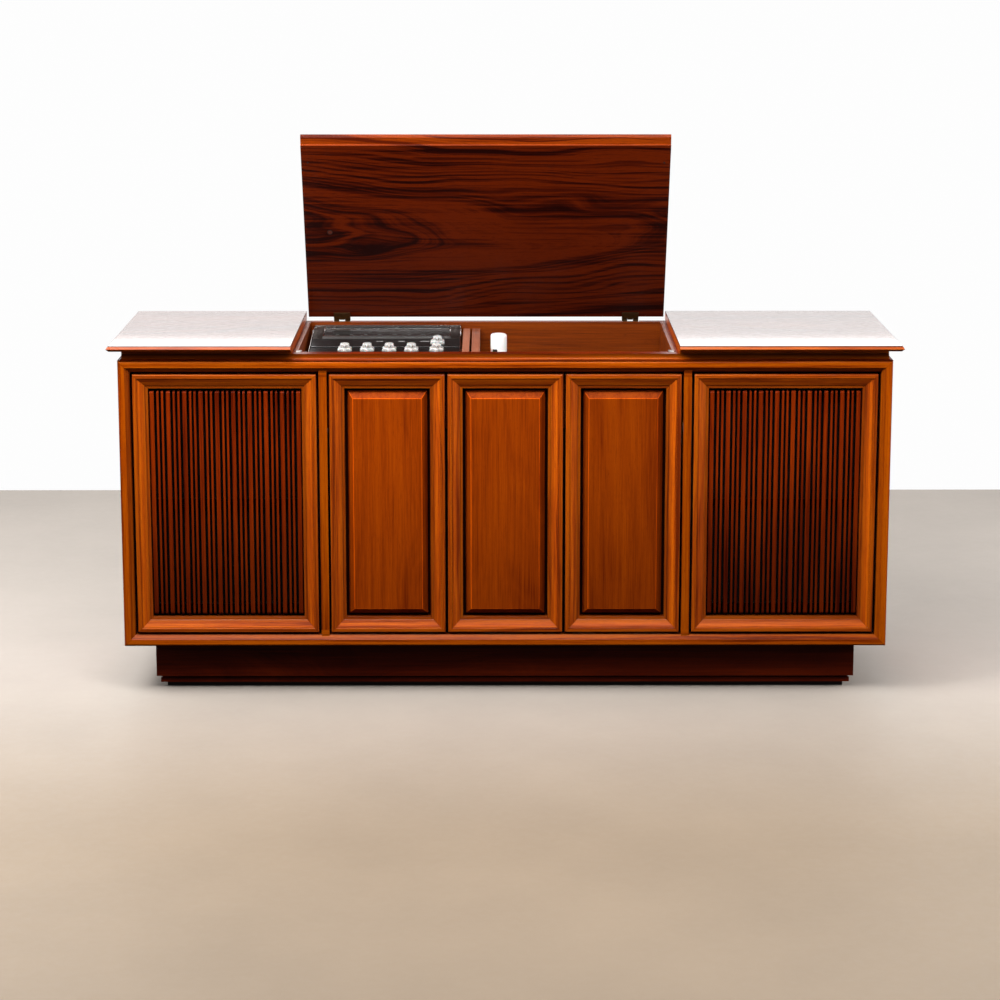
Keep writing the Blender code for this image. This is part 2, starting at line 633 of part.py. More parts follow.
def make_drive():
    low = DECK_TOP + 0.0012
    platter = [(RIM_INNER, 0.6180), (RIM_INNER, 0.6320), (0.0140, 0.6320), (0.0120, low), (0.0044, low),
               (0.0044, 0.6360), (PLATTER_R - 0.002, 0.6360), (PLATTER_R, 0.6340), (PLATTER_R, 0.6180)]
    turned("platter", platter, CHROME, SPINDLE, 48, hollow=True)
    mat_low, mat_high = 0.6363, 0.6393
    mat = [(0.0048, mat_low), (0.0048, mat_high), (0.0450, mat_high), (0.0465, mat_high - 0.0012),
           (0.0480, mat_high), (0.1180, mat_high), (0.1195, mat_high - 0.0012), (0.1210, mat_high),
           (0.1290, mat_high), (0.1305, mat_low)]
    turned("platter_mat", mat, RUBBER, SPINDLE, 48, hollow=True)
    tip = 0.714
    spindle = [(0.0070, DECK_TOP + GAP), (0.0070, DECK_TOP + 0.0008), (0.0036, DECK_TOP + 0.0010),
               (0.0036, tip - 0.004), (0.0018, tip)]
    turned("spindle", spindle, CHROME, SPINDLE, 16)
    wheel = [(0.0040, low), (0.0040, 0.6220), (IDLER_R, 0.6225), (IDLER_R, 0.6265), (0.0040, 0.6270),
             (0.0040, 0.6290)]
    turned("idler_wheel", wheel, RUBBER, idler_place(), 32)
    shaft = 0.0011
    pulley = [(shaft, 0.5905), (shaft, low + 0.001), (0.0056, low + 0.001), (0.0056, 0.6165), (0.0032, 0.6170),
              (0.0032, 0.6205), (PULLEY_R, 0.6210), (PULLEY_R, 0.6285), (shaft, 0.6300)]
    turned("motor_pulley", pulley, STEEL, motor_place(), 16)


def make_tonearm():
    """The post swings on a vertical axis; the arm tips in the post's fork to lift."""
    x, y = ARM_PIVOT
    post = rod("tonearm_post", 0.0110, DECK_TOP + GAP, ARM_Z - 0.008, GREY_PAINT, ARM_PIVOT, 24)
    for side in (-1, 1):
        ear = sorted((x + side * 0.0078, x + side * 0.0100))
        join(post, block("ear", ear, (y - 0.005, y + 0.005), (ARM_Z - 0.010, ARM_Z + 0.005), GREY_PAINT))
    front = y - ARM_LENGTH
    sections = [(0.0075, y + 0.042, 0.0070), (0.0075, y + 0.022, 0.0070), (0.0050, y + 0.018, 0.0040),
                (0.0055, y, 0.0040), (0.0040, front + 0.030, 0.0035), (0.0080, front + 0.024, 0.0050),
                (0.0080, front - 0.014, 0.0050)]
    loops = [rect_y((x - half, x + half), (ARM_Z - rise, ARM_Z + rise), at) for half, at, rise in sections]
    arm = add("tonearm", loops, WHITE_PLASTIC, origin=(x, y, ARM_Z))
    join(arm, rod_x("trunnion", 0.0015, (x - 0.0072, x + 0.0072), y, ARM_Z, STEEL, count=12))
    stylus = [(0.0006, ARM_Z - 0.0135), (0.0030, ARM_Z - 0.0080), (0.0030, ARM_Z - 0.0040)]
    join(arm, turned("stylus", stylus, STEEL, (x, front), 12))


def make_overarm():
    """Stabiliser arm: it holds a stack of records level, and swings aside to load them."""
    x, y = OVERARM_PIVOT
    arm = rod("overarm", 0.0060, DECK_TOP + GAP, 0.6880, CHROME, OVERARM_PIVOT, 20)
    direction = (SPINDLE - OVERARM_PIVOT).normalized()
    across = Vector((-direction.y, direction.x))
    loops = []
    for along, half in ((-0.004, 0.0055), (0.060, 0.0050), (0.128, 0.0075), (0.140, 0.0045)):
        middle = Vector((x, y)) + along * direction
        left, right = middle + half * across, middle - half * across
        loops.append([(*left, 0.6800), (*right, 0.6800), (*right, 0.6870), (*left, 0.6870)])
    join(arm, add("overarm_bar", loops, CHROME))


def make_changer_knob():
    profile = [(0.0120, DECK_TOP + 0.0005), (0.0120, DECK_TOP + 0.0060), (0.0100, DECK_TOP + 0.0120)]
    knob = turned("changer_knob", profile, WHITE_PLASTIC, (0.288, 0.102), 24, base=DECK_TOP)
    join(knob, block("grip", (0.2862, 0.2898), (0.0925, 0.1115), (DECK_TOP + 0.010, DECK_TOP + 0.0185),
                     WHITE_PLASTIC))


def make_adapter():
    """Spindle adapter for large-hole records, stored standing beside the changer."""
    profile = [(0.0176, ADAPTER_LOW), (ADAPTER_R, ADAPTER_LOW + 0.0010), (ADAPTER_R, ADAPTER_TOP - 0.0050),
               (0.0168, ADAPTER_TOP - 0.0014), (0.0120, ADAPTER_TOP)]
    adapter = turned("adapter_45", profile, WHITE_PLASTIC, ADAPTER, 32, base=ADAPTER_LOW)
    cut(adapter, rod("bore", 0.0042, ADAPTER_LOW - 0.01, ADAPTER_TOP - 0.006, WHITE_PLASTIC, ADAPTER))


def overall_middle():
    """y of the middle of the whole object, from the moulded tip to the open lid's back edge."""
    lid_corner = Matrix.Rotation(-LID_OPEN, 2) @ Vector((LID_BACK - PIN_Y, TOP_SURFACE - PIN_Z))
    return (PIN_Y + lid_corner.x - TIP_OUT) / 2


def main():
    clear_scene()
    make_plinth()
    make_carcase()
    make_gland()
    make_face_frame()
    make_centre_panels()
    make_grilles()
    make_neck()
    make_fixed_tops()
    make_lid()
    make_well()
    make_chassis()
    make_control_panel()
    make_deck()
    make_drive()
    make_tonearm()
    make_overarm()
    make_changer_knob()
    make_adapter()
    shift = overall_middle()
    for obj in bpy.data.objects:
        if obj.parent is None:
            obj.location.y -= shift


main()
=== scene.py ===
"""Looks for the radio phonograph console: wood, lacquer, cloth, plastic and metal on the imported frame."""

import json
import math
import random

import bmesh
import bpy
from mathutils import Matrix, Vector


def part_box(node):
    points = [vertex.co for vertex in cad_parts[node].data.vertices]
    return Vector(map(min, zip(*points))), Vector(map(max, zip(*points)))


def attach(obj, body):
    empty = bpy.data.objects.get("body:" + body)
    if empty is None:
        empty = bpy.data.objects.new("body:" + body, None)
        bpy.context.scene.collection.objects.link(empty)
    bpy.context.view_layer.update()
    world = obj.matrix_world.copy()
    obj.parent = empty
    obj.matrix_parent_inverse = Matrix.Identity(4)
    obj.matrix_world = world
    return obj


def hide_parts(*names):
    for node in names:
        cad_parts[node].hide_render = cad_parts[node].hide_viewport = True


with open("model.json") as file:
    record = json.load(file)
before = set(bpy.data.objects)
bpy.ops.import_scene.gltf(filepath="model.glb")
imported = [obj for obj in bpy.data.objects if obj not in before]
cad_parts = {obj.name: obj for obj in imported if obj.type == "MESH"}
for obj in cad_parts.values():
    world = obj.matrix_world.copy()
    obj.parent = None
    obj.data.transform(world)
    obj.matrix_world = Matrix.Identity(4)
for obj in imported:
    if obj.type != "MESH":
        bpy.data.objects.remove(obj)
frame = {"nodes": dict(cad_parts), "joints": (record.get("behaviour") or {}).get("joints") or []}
NODES = frame["nodes"]
JOINTS = {joint["name"]: joint for joint in frame["joints"]}
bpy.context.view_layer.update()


# ---- Shader graphs ----


class Graph:
    """A material's node tree, with one Principled shader."""

    def __init__(self, name):
        self.material = bpy.data.materials.new(name)
        self.material.use_nodes = True
        self.tree = self.material.node_tree
        self.shader = self.tree.nodes["Principled BSDF"]
        self.coordinates = None

    def node(self, kind, values=None, **settings):
        made = self.tree.nodes.new(kind)
        for key, value in settings.items():
            setattr(made, key, value)
        for key, value in (values or {}).items():
            self.put(made.inputs[key], value)
        return made

    def put(self, socket, value):
        if isinstance(value, bpy.types.NodeSocket):
            self.tree.links.new(value, socket)
        elif value is not None:
            socket.default_value = value

    def position(self):
        """Object coordinates: the frame's own metres, which stay with a piece when it moves."""
        if self.coordinates is None:
            self.coordinates = self.node("ShaderNodeTexCoord").outputs["Object"]
        return self.coordinates

    def split(self, vector):
        parts = self.node("ShaderNodeSeparateXYZ", {0: vector})
        return parts.outputs[0], parts.outputs[1], parts.outputs[2]

    def vector(self, x, y, z):
        return self.node("ShaderNodeCombineXYZ", {0: x, 1: y, 2: z}).outputs[0]

    def math(self, operation, *values):
        return self.node("ShaderNodeMath", dict(enumerate(values)), operation=operation).outputs[0]

    def less(self, a, b):
        return self.math("SUBTRACT", a, b)

    def times(self, a, b):
        return self.math("MULTIPLY", a, b)

    def vary(self, value, amount, base):
        """base, more or less: value runs from 0 to 1, and its middle changes nothing."""
        return self.math("MULTIPLY_ADD", self.less(value, 0.5), amount, base)

    def tint(self, colour, amount):
        return self.mix(1.0, colour, amount, "MULTIPLY")

    def scale(self, vector, amounts):
        return self.node("ShaderNodeVectorMath", {0: vector, 1: amounts}, operation="MULTIPLY").outputs[0]

    def shift(self, vector, amounts):
        return self.node("ShaderNodeVectorMath", {0: vector, 1: amounts}, operation="ADD").outputs[0]

    def noise(self, vector, scale=1.0, detail=2.0, rough=0.5, distortion=0.0):
        values = {"Vector": vector, "Scale": scale, "Detail": detail, "Roughness": rough,
                  "Distortion": distortion}
        return self.node("ShaderNodeTexNoise", values).outputs["Fac"]

    def grain(self, vector, stretch, *settings):
        """Noise with a scale of its own along each axis."""
        return self.noise(self.scale(vector, stretch), 1.0, *settings)

    def spots(self, scale, *settings):
        return self.noise(self.position(), scale, *settings)

    def remap(self, value, low, high, to_low=0.0, to_high=1.0, smooth=False):
        values = {"Value": value, "From Min": low, "From Max": high, "To Min": to_low, "To Max": to_high}
        kind = "SMOOTHSTEP" if smooth else "LINEAR"
        return self.node("ShaderNodeMapRange", values, interpolation_type=kind).outputs["Result"]

    def ramp(self, value, stops):
        made = self.node("ShaderNodeValToRGB", {"Fac": value})
        elements = made.color_ramp.elements
        while len(elements) < len(stops):
            elements.new(0.5)
        for element, (place, colour) in zip(elements, stops):
            element.position = place
            if not hasattr(colour, "__len__"):
                colour = (colour,) * 3
            element.color = (*colour[:3], 1.0)
        return made.outputs["Color"]

    def mix(self, factor, a, b, blend="MIX"):
        made = self.node("ShaderNodeMix", data_type="RGBA", blend_type=blend)
        self.put(made.inputs[0], factor)
        for socket, value in ((made.inputs[6], a), (made.inputs[7], b)):
            if not isinstance(value, bpy.types.NodeSocket):
                value = (*value[:3], 1.0) if hasattr(value, "__len__") else (value, value, value, 1.0)
            self.put(socket, value)
        return made.outputs[2]

    def bump(self, height, distance, strength):
        values = {"Height": height, "Distance": distance, "Strength": strength}
        return self.node("ShaderNodeBump", values).outputs["Normal"]

    def finish(self, **sockets):
        """Sets the shader's sockets: Base_Color means Base Color."""
        for key, value in sockets.items():
            socket = self.shader.inputs[key.replace("_", " ")]
            if hasattr(value, "__len__") and len(value) == 3 and not isinstance(value, bpy.types.NodeSocket):
                value = (*value, 1.0) if socket.type == "RGBA" else value
            self.put(socket, value)
        return self.material


# ---- Wood ----


WALNUT = ((0.460, 0.086, 0.0006), (0.345, 0.050, 0.0003), (0.150, 0.016, 0.0002))
LIP_WALNUT = ((0.270, 0.036, 0.0004), (0.205, 0.024, 0.0003), (0.085, 0.007, 0.0001))
PANEL_WALNUT = ((0.375, 0.057, 0.0003), (0.300, 0.040, 0.0002), (0.160, 0.016, 0.0001))
TOP_WALNUT = ((0.120, 0.026, 0.004), (0.078, 0.014, 0.002), (0.030, 0.004, 0.001))
LID_WALNUT = ((0.130, 0.0125, 0.0002), (0.066, 0.0052, 0.0001), (0.014, 0.0008, 0.0001))
SLAT_WALNUT = ((0.310, 0.032, 0.0004), (0.215, 0.018, 0.0002), (0.070, 0.004, 0.0001))
PLINTH_WALNUT = ((0.175, 0.0165, 0.0004), (0.102, 0.0080, 0.0002), (0.034, 0.0022, 0.0001))
WELL_WALNUT = ((0.215, 0.037, 0.0004), (0.145, 0.023, 0.0002), (0.060, 0.007, 0.0001))
SIDE_WOOD = ((0.330, 0.120, 0.070), (0.240, 0.078, 0.042), (0.100, 0.026, 0.012))
BOARD_WOOD = ((0.420, 0.250, 0.120), (0.340, 0.190, 0.085), (0.220, 0.110, 0.045))
STRAIGHT = (0.75, 1.2, 1.0, 0.6)  # strengths of the layers in straight-grained mouldings
PORE_DEPTH = 0.5
RAY_DEPTH = 0.25
GRAIN_RELIEF = 0.00004
SEED_SHIFT = (0.37, 0.11, 0.73)  # how far a step of the seed moves the sample: across, depth, along
BAND = 0.04  # the width of a moulding that its edge stops cover
DULL = {"coat": 0.03, "specular": 0.08}
POLISH = {"rings": 26, "centre": 0.10, "slope": 0.06, "figure": 0.40, "gloss": 0.28, "coat": 1.0,
          "coat_rough": 0.05, "strengths": (0.8, 0.7, 0.5, 0.6)}


def grain_space(graph, layout, middle, half):
    """(across, depth, along) coordinates, the inset from a frame's edge, and the distance to its mitres.

    A layout such as "xyz" names the axes for across, depth and along. "frame" follows the mitred
    members of a rectangular frame in the xz plane.
    """
    x, y, z = graph.split(graph.position())
    axes = {"x": x, "y": y, "z": z}
    if layout != "frame":
        return graph.vector(*(axes[letter] for letter in layout)), None, None
    from_middle_x = graph.less(x, middle[0])
    from_middle_z = graph.less(z, middle[1])
    inset_x = graph.less(half[0], graph.math("ABSOLUTE", from_middle_x))
    inset_z = graph.less(half[1], graph.math("ABSOLUTE", from_middle_z))
    inset = graph.math("MINIMUM", inset_x, inset_z)
    stile = graph.math("MAXIMUM", graph.math("LESS_THAN", inset_x, inset_z),
                       graph.math("GREATER_THAN", inset, 0.036))
    side_x = graph.math("SIGN", from_middle_x)
    side_z = graph.math("SIGN", from_middle_z)
    upright = graph.vector(graph.math("MULTIPLY_ADD", side_x, 1.7, x), y, z)
    level = graph.vector(graph.math("MULTIPLY_ADD", side_z, 2.9, z), y, x)
    mixed = graph.node("ShaderNodeMix", data_type="VECTOR")
    graph.put(mixed.inputs[0], stile)
    graph.put(mixed.inputs[4], level)
    graph.put(mixed.inputs[5], upright)
    mitre = graph.math("ABSOLUTE", graph.less(inset_x, inset_z))
    return mixed.outputs[1], inset, mitre


def eye(graph, across, along, centre, size, pull):
    """Spreads the grain round a point, as round a knot. Returns the new across, and the knot's mask."""
    u = graph.math("DIVIDE", graph.less(along, centre[1]), size[1])
    v = graph.math("DIVIDE", graph.less(across, centre[0]), size[0])
    distance = graph.math("ADD", graph.math("POWER", u, 2.0), graph.math("POWER", v, 2.0))
    near = graph.math("EXPONENT", graph.times(distance, -1.0))
    shrink = graph.times(graph.times(v, size[0] * pull), near)
    return graph.less(across, shrink), near


def wood(name, colours, layout="xyz", seed=0.0, figure=0.25, rings=70.0, centre=0.35, slope=0.05, gloss=0.34,
         coat=0.12, coat_rough=0.16, edges=None, middle=(0, 0), half=(1, 1), turn=None, painted_recess_shade=None, eyes=(),
         strengths=(0.5, 0.7, 0.5, 0.5), lip=None, specular=0.2, fade=None):
    """Lacquered walnut: growth rings cut by the board, streaks, fibres, pores, and broad lighter areas.

    figure bends the rings, centre and slope place the heart of the tree, edges are (inset, shade)
    stops across a moulding: painted light on its slopes, and painted shade with some glaze in its
    quirks. sunk is painted shade, which turns the colour black with depth into recesses, and lip gives
    the edge moulding its own colours. fade darkens the colour towards one end, mostly as painted shade
    where less light falls: an axis, where the least of the colour is, where the whole of it is, and the
    least. turn is a board's angle and the pivot that it has turned about, and eyes are knots that spread
    the grain. strengths are those of the rings, streaks, fibres and broad areas.
    """
    graph = Graph(name)
    light, mid, dark = colours
    if turn is not None:
        angle, pivot = turn
        spin = Matrix.Rotation(angle, 3, "X")
        offset = Vector(pivot) - spin @ Vector(pivot)
        mapped = graph.node("ShaderNodeMapping", {"Vector": graph.position(), "Location": offset,
                                                  "Rotation": (angle, 0, 0)})
        graph.coordinates = mapped.outputs[0]
    plain, inset, mitre = grain_space(graph, layout, middle, half)
    shift = [seed * step for step in SEED_SHIFT]
    space = graph.shift(plain, shift)
    across, depth, along = graph.split(space)
    knots = []
    for eye_centre, eye_size, pull in eyes:
        moved = (eye_centre[0] + shift[0], eye_centre[1] + shift[2])
        across, near = eye(graph, across, along, moved, eye_size, pull)
        knots.append(near)
    space = graph.vector(across, depth, along)

    waver = graph.grain(space, (5, 5, 1.6), 2, 0.45)
    waver = graph.times(graph.less(waver, 0.5), figure)
    ripple = graph.grain(space, (22, 22, 5), 2, 0.5)
    ripple = graph.times(graph.less(ripple, 0.5), figure * 0.10)
    heart = graph.math("MULTIPLY_ADD", graph.less(along, shift[2]), slope, centre)
    heart = graph.math("ADD", heart, waver)
    side = graph.math("ADD", graph.less(across, shift[0]), ripple)
    radius = graph.math("SQRT",
                        graph.math("ADD", graph.math("POWER", side, 2.0), graph.math("POWER", heart, 2.0)))
    ring = graph.noise(graph.vector(graph.times(radius, rings), seed, 0.0), 1.0, 4, 0.62)
    ring_shade = graph.remap(ring, 0.30, 0.62, -0.5, 0.5)

    fibre = graph.grain(space, (700, 700, 10), 3, 0.6)
    streak = graph.grain(space, (150, 150, 1.8), 4, 0.6)
    broad = graph.grain(space, (9, 9, 2.4), 2, 0.5)
    shade = graph.math("MULTIPLY_ADD", ring_shade, strengths[0], 0.5)
    for layer, strength in ((streak, strengths[1]), (fibre, strengths[2]), (broad, strengths[3])):
        shade = graph.vary(layer, strength * 1.6, shade)
    for near in knots:
        shade = graph.math("MULTIPLY_ADD", graph.math("POWER", near, 2.5), -0.30, shade)
    colour = graph.ramp(shade, [(0.05, dark), (0.50, mid), (0.95, light)])
    if lip is not None:
        start, lip_colours = lip
        y = graph.split(graph.position())[1]
        on_lip = graph.remap(y, start, start + 0.0006, 1.0, 0.0)
        edge = graph.ramp(shade, [(0.05, lip_colours[2]), (0.50, lip_colours[1]), (0.95, lip_colours[0])])
        colour = graph.mix(on_lip, colour, edge)

    pore_noise = graph.grain(space, (1500, 1500, 60), 1, 0.5)
    pore = graph.remap(pore_noise, 0.62, 0.70, 0.0, 1.0)
    colour = graph.mix(graph.times(pore, PORE_DEPTH), colour, dark)
    ray_noise = graph.grain(space, (420, 420, 9), 2, 0.55)
    ray = graph.remap(ray_noise, 0.56, 0.70, 0.0, RAY_DEPTH)
    colour = graph.mix(ray, colour, dark)
    # Painted light and shade across a moulding: lighter slopes, darker quirks and arrises, with some glaze.
    # The mitre seam is a dark joint.
    if edges is not None:
        stops = [(min(place / BAND, 1.0), value) for place, value in edges]
        painted_light_shade_and_glaze = graph.ramp(graph.math("DIVIDE", inset, BAND), stops)
        wander = graph.spots(40.0, 2, 0.6)
        painted_light_shade_and_glaze = graph.mix(graph.remap(wander, 0.35, 0.75, 0.0, 0.3), painted_light_shade_and_glaze, 1.0)
        colour = graph.tint(colour, painted_light_shade_and_glaze)
        seam = graph.remap(mitre, 0.0003, 0.0009, 0.6, 0.0)
        seam = graph.times(seam, graph.math("LESS_THAN", inset, 0.034))
        colour = graph.mix(seam, colour, dark)
    # Painted shade: the colour turns near-black with depth into recesses.
    if painted_recess_shade is not None:
        front, back, amount = painted_recess_shade
        y = graph.split(graph.position())[1]
        colour = graph.mix(graph.remap(y, front, back, 0.0, amount, smooth=True), colour,
                           (0.003, 0.001, 0.0005))

    # Darker towards one end; on most pieces this is painted shade where less light falls.
    if fade is not None:
        axis, start, end, least = fade
        place = graph.split(graph.position())[axis]
        colour = graph.tint(colour, graph.remap(place, start, end, least, 1.0, smooth=True))

    rough = graph.vary(fibre, 0.16, gloss)
    rough = graph.math("MULTIPLY_ADD", pore, 0.18, rough)
    height = graph.less(graph.times(fibre, 0.35), graph.times(pore, 1.0))
    normal = graph.bump(height, GRAIN_RELIEF, 0.6)
    orange_peel = graph.spots(160.0, 2, 0.5)
    coat_normal = graph.bump(orange_peel, 0.00025, 0.10)
    return graph.finish(Base_Color=colour, Roughness=rough, Normal=normal, Coat_Weight=coat,
                        Coat_Roughness=coat_rough, Coat_Normal=coat_normal, Specular_IOR_Level=specular)


def box_middle(node):
    low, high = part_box(node)
    return ((low.x + high.x) / 2, (low.z + high.z) / 2), ((high.x - low.x) / 2, (high.z - low.z) / 2)


# ---- Other materials ----


def cloth_material():
    """Black open weave with a sparse pale fleck in pairs."""
    graph = Graph("grille_cloth_weave")
    pitch = 0.0011
    x, _, z = graph.split(graph.position())
    warp = graph.math("SINE", graph.times(x, 2 * math.pi / pitch))
    weft = graph.math("SINE", graph.times(z, 2 * math.pi / pitch))
    check = graph.times(warp, weft)
    thread = graph.grain(graph.position(), (900, 900, 900), 2, 0.6)
    colour = graph.ramp(graph.math("MULTIPLY_ADD", check, 0.25, thread),
                        [(0.2, (0.0015, 0.0013, 0.0012)), (0.9, (0.012, 0.010, 0.009))])
    row = graph.math("ABSOLUTE", graph.less(graph.math("PINGPONG", z, 0.0205), 0.004))
    row = graph.remap(row, 0.0004, 0.0011, 1.0, 0.0)
    column = graph.math("ABSOLUTE", graph.less(graph.math("PINGPONG", x, 0.00875), 0.003))
    column = graph.remap(column, 0.0004, 0.0010, 1.0, 0.0)
    colour = graph.mix(graph.times(graph.times(row, column), 0.5), colour, (0.10, 0.09, 0.08))
    normal = graph.bump(check, 0.0002, 0.8)
    return graph.finish(Base_Color=colour, Roughness=0.95, Normal=normal, Sheen_Weight=0.15,
                        Specular_IOR_Level=0.1)


def painted(name, colour, rough=0.45, speckle=0.12, coat=0.0, bump=0.0001, scale=220.0, wear=0.0, worn=None):
    """Paint or moulded plastic: slight tone changes, dust and a fine surface."""
    graph = Graph(name)
    fine = graph.spots(scale, 3, 0.6)
    broad = graph.spots(14.0, 3, 0.55)
    tone = graph.vary(broad, speckle * 2, 1.0)
    tone = graph.vary(fine, speckle, tone)
    shaded = graph.tint(colour, tone)
    if wear:
        scuffs = graph.remap(graph.spots(60.0, 5, 0.7), 0.62, 0.72, 0.0, wear)
        shaded = graph.mix(scuffs, shaded, worn)
    roughness = graph.vary(broad, 0.2, rough)
    return graph.finish(Base_Color=shaded, Roughness=roughness, Normal=graph.bump(fine, bump, 0.5),
                        Coat_Weight=coat, Coat_Roughness=0.12)


def metal(name, colour, rough=0.2, brushed=None, tarnish=0.15, dull=(0.05, 0.04, 0.03)):
    """Plated or turned metal; brushed gives the scratches' stretch along x, y and z."""
    graph = Graph(name)
    stretched = graph.scale(graph.position(), brushed or (300, 300, 300))
    lines = graph.noise(stretched, 1.0, 3, 0.6)
    stain = graph.remap(graph.spots(45.0, 4, 0.65), 0.5, 0.75, 0.0, tarnish)
    shaded = graph.mix(stain, graph.tint(colour, graph.remap(lines, 0.2, 0.8, 0.86, 1.08)), dull)
    roughness = graph.math("ADD", graph.vary(lines, 0.18, rough),
                           graph.times(stain, 0.5))
    return graph.finish(Base_Color=shaded, Roughness=roughness, Metallic=1.0,
                        Normal=graph.bump(lines, 0.00004, 0.4))


def turned_metal(name, colour, centre, rough=0.22, pitch=0.0006):
    """Lathe-turned metal, with fine rings round a vertical axis."""
    graph = Graph(name)
    x, y, _ = graph.split(graph.position())
    dx, dy = graph.less(x, centre[0]), graph.less(y, centre[1])
    radius = graph.math("SQRT", graph.math("ADD", graph.math("POWER", dx, 2.0), graph.math("POWER", dy, 2.0)))
    wave = graph.math("SINE", graph.times(radius, 2 * math.pi / pitch))
    cloudy = graph.spots(30.0, 3, 0.6)
    shaded = graph.tint(colour, graph.remap(cloudy, 0.3, 0.7, 0.85, 1.05))
    roughness = graph.math("MULTIPLY_ADD", cloudy, 0.15, rough)
    return graph.finish(Base_Color=shaded, Roughness=roughness, Metallic=1.0,
                        Normal=graph.bump(wave, 0.00003, 0.5))


def pearl_plastic(name, colour, cloud=0.08, rough=0.18):
    """Milky, slightly translucent plastic."""
    graph = Graph(name)
    swirl = graph.spots(90.0, 3, 0.6, 1.5)
    shaded = graph.tint(colour, graph.remap(swirl, 0.3, 0.7, 1.0 - cloud, 1.0))
    scratch = graph.spots(500.0, 2, 0.5)
    roughness = graph.remap(scratch, 0.3, 0.7, rough * 0.8, rough * 1.4)
    return graph.finish(Base_Color=shaded, Roughness=roughness, Normal=graph.bump(scratch, 0.00004, 0.3),
                        Subsurface_Weight=0.15, Subsurface_Scale=0.004, Coat_Weight=0.5, Coat_Roughness=0.06)


def rubber(name):
    graph = Graph(name)
    colour = (0.016, 0.016, 0.017)
    fine = graph.spots(700.0, 2, 0.6)
    dust = graph.remap(graph.spots(25.0, 5, 0.7), 0.48, 0.75, 0.0, 0.22)
    shaded = graph.mix(dust, graph.tint(colour, graph.remap(fine, 0.2, 0.8, 0.7, 1.3)),
                       (0.07, 0.065, 0.06))
    return graph.finish(Base_Color=shaded, Roughness=graph.remap(fine, 0.2, 0.8, 0.6, 0.85),
                        Normal=graph.bump(fine, 0.00012, 0.5), Specular_IOR_Level=0.3)


def smoked_glass():
    """Dark dial glass: mostly opaque from its smoked back, with a clear glossy face."""
    graph = Graph("smoked_dial_glass")
    smear = graph.grain(graph.position(), (25, 60, 60), 4, 0.6)
    fade = graph.remap(graph.grain(graph.position(), (6, 25, 25), 2, 0.5), 0.3, 0.7, 0.0,
                       1.0)
    shaded = graph.mix(fade, (0.014, 0.014, 0.014), (0.024, 0.023, 0.022))
    return graph.finish(Base_Color=shaded, Roughness=graph.remap(smear, 0.3, 0.8, 0.10, 0.24),
                        Coat_Weight=0.05,
                        Coat_Roughness=0.05, Alpha=0.93, Specular_IOR_Level=0.3)


def hardboard():
    graph = Graph("pressed_board")
    fibres = graph.grain(graph.position(), (260, 260, 260), 5, 0.75, 1.2)
    patches = graph.spots(3.0, 4, 0.6)
    shade = graph.vary(patches, 0.7, fibres)
    shaded = graph.ramp(shade, [(0.25, (0.065, 0.034, 0.018)), (0.5, (0.125, 0.070, 0.038)),
                                (0.8, (0.200, 0.120, 0.068))])
    return graph.finish(Base_Color=shaded, Roughness=0.85, Normal=graph.bump(fibres, 0.0004, 0.4),
                        Specular_IOR_Level=0.2)


def speaker_paper():
    """Ribbed black cone and dull painted basket."""
    graph = Graph("speaker_paper")
    fine = graph.spots(420.0, 4, 0.7)
    shaded = graph.ramp(fine, [(0.3, (0.010, 0.009, 0.008)), (0.7, (0.040, 0.035, 0.030))])
    return graph.finish(Base_Color=shaded, Roughness=0.9, Normal=graph.bump(fine, 0.0003, 0.6))


# ---- Carried-over CAD nodes: finishes and softened arrises ----


def dress(node, material, bevel=0.0, segments=2, angle=28.0, smooth=False):
    """Gives a CAD node its finish. A bevel takes the sharpness off its arrises."""
    obj = NODES[node]
    obj.data.materials.clear()
    obj.data.materials.append(material)
    flat_normals = obj.data.attributes.get("custom_normal")
    if flat_normals is not None:
        obj.data.attributes.remove(flat_normals)
    obj.data.shade_smooth()
    weld = obj.modifiers.new("weld", "WELD")
    weld.merge_threshold = 0.00001
    if bevel:
        planes = obj.modifiers.new("planes", "DECIMATE")
        planes.decimate_type = "DISSOLVE"
        planes.angle_limit = math.radians(0.5)
        arris = obj.modifiers.new("arris", "BEVEL")
        arris.width = bevel
        arris.segments = segments
        arris.limit_method = "ANGLE"
        arris.angle_limit = math.radians(angle)
        arris.use_clamp_overlap = True
        arris.miter_outer = "MITER_ARC"
    if smooth or not bevel:
        split = obj.modifiers.new("split", "EDGE_SPLIT")
        split.split_angle = math.radians(38)
    else:
        weighted = obj.modifiers.new("normals", "WEIGHTED_NORMAL")
        weighted.weight = 80
        weighted.keep_sharp = False
    return obj


# Stops across the grille and panel frames' mouldings: painted light on the slopes, painted shade in the
# quirks and at the arrises, with some glaze.
FRAME_PAINTED_LIGHT_SHADE_AND_GLAZE = [(0.0, 0.50), (0.0012, 1.15), (0.0030, 1.05), (0.0080, 1.08), (0.0090, 1.00), (0.0100, 0.95),
               (0.0112, 1.30), (0.0130, 1.50), (0.0180, 1.35), (0.0240, 1.05), (0.0253, 0.75), (0.0262, 0.55),
               (0.0275, 0.78), (0.0312, 0.80), (0.0330, 0.10)]


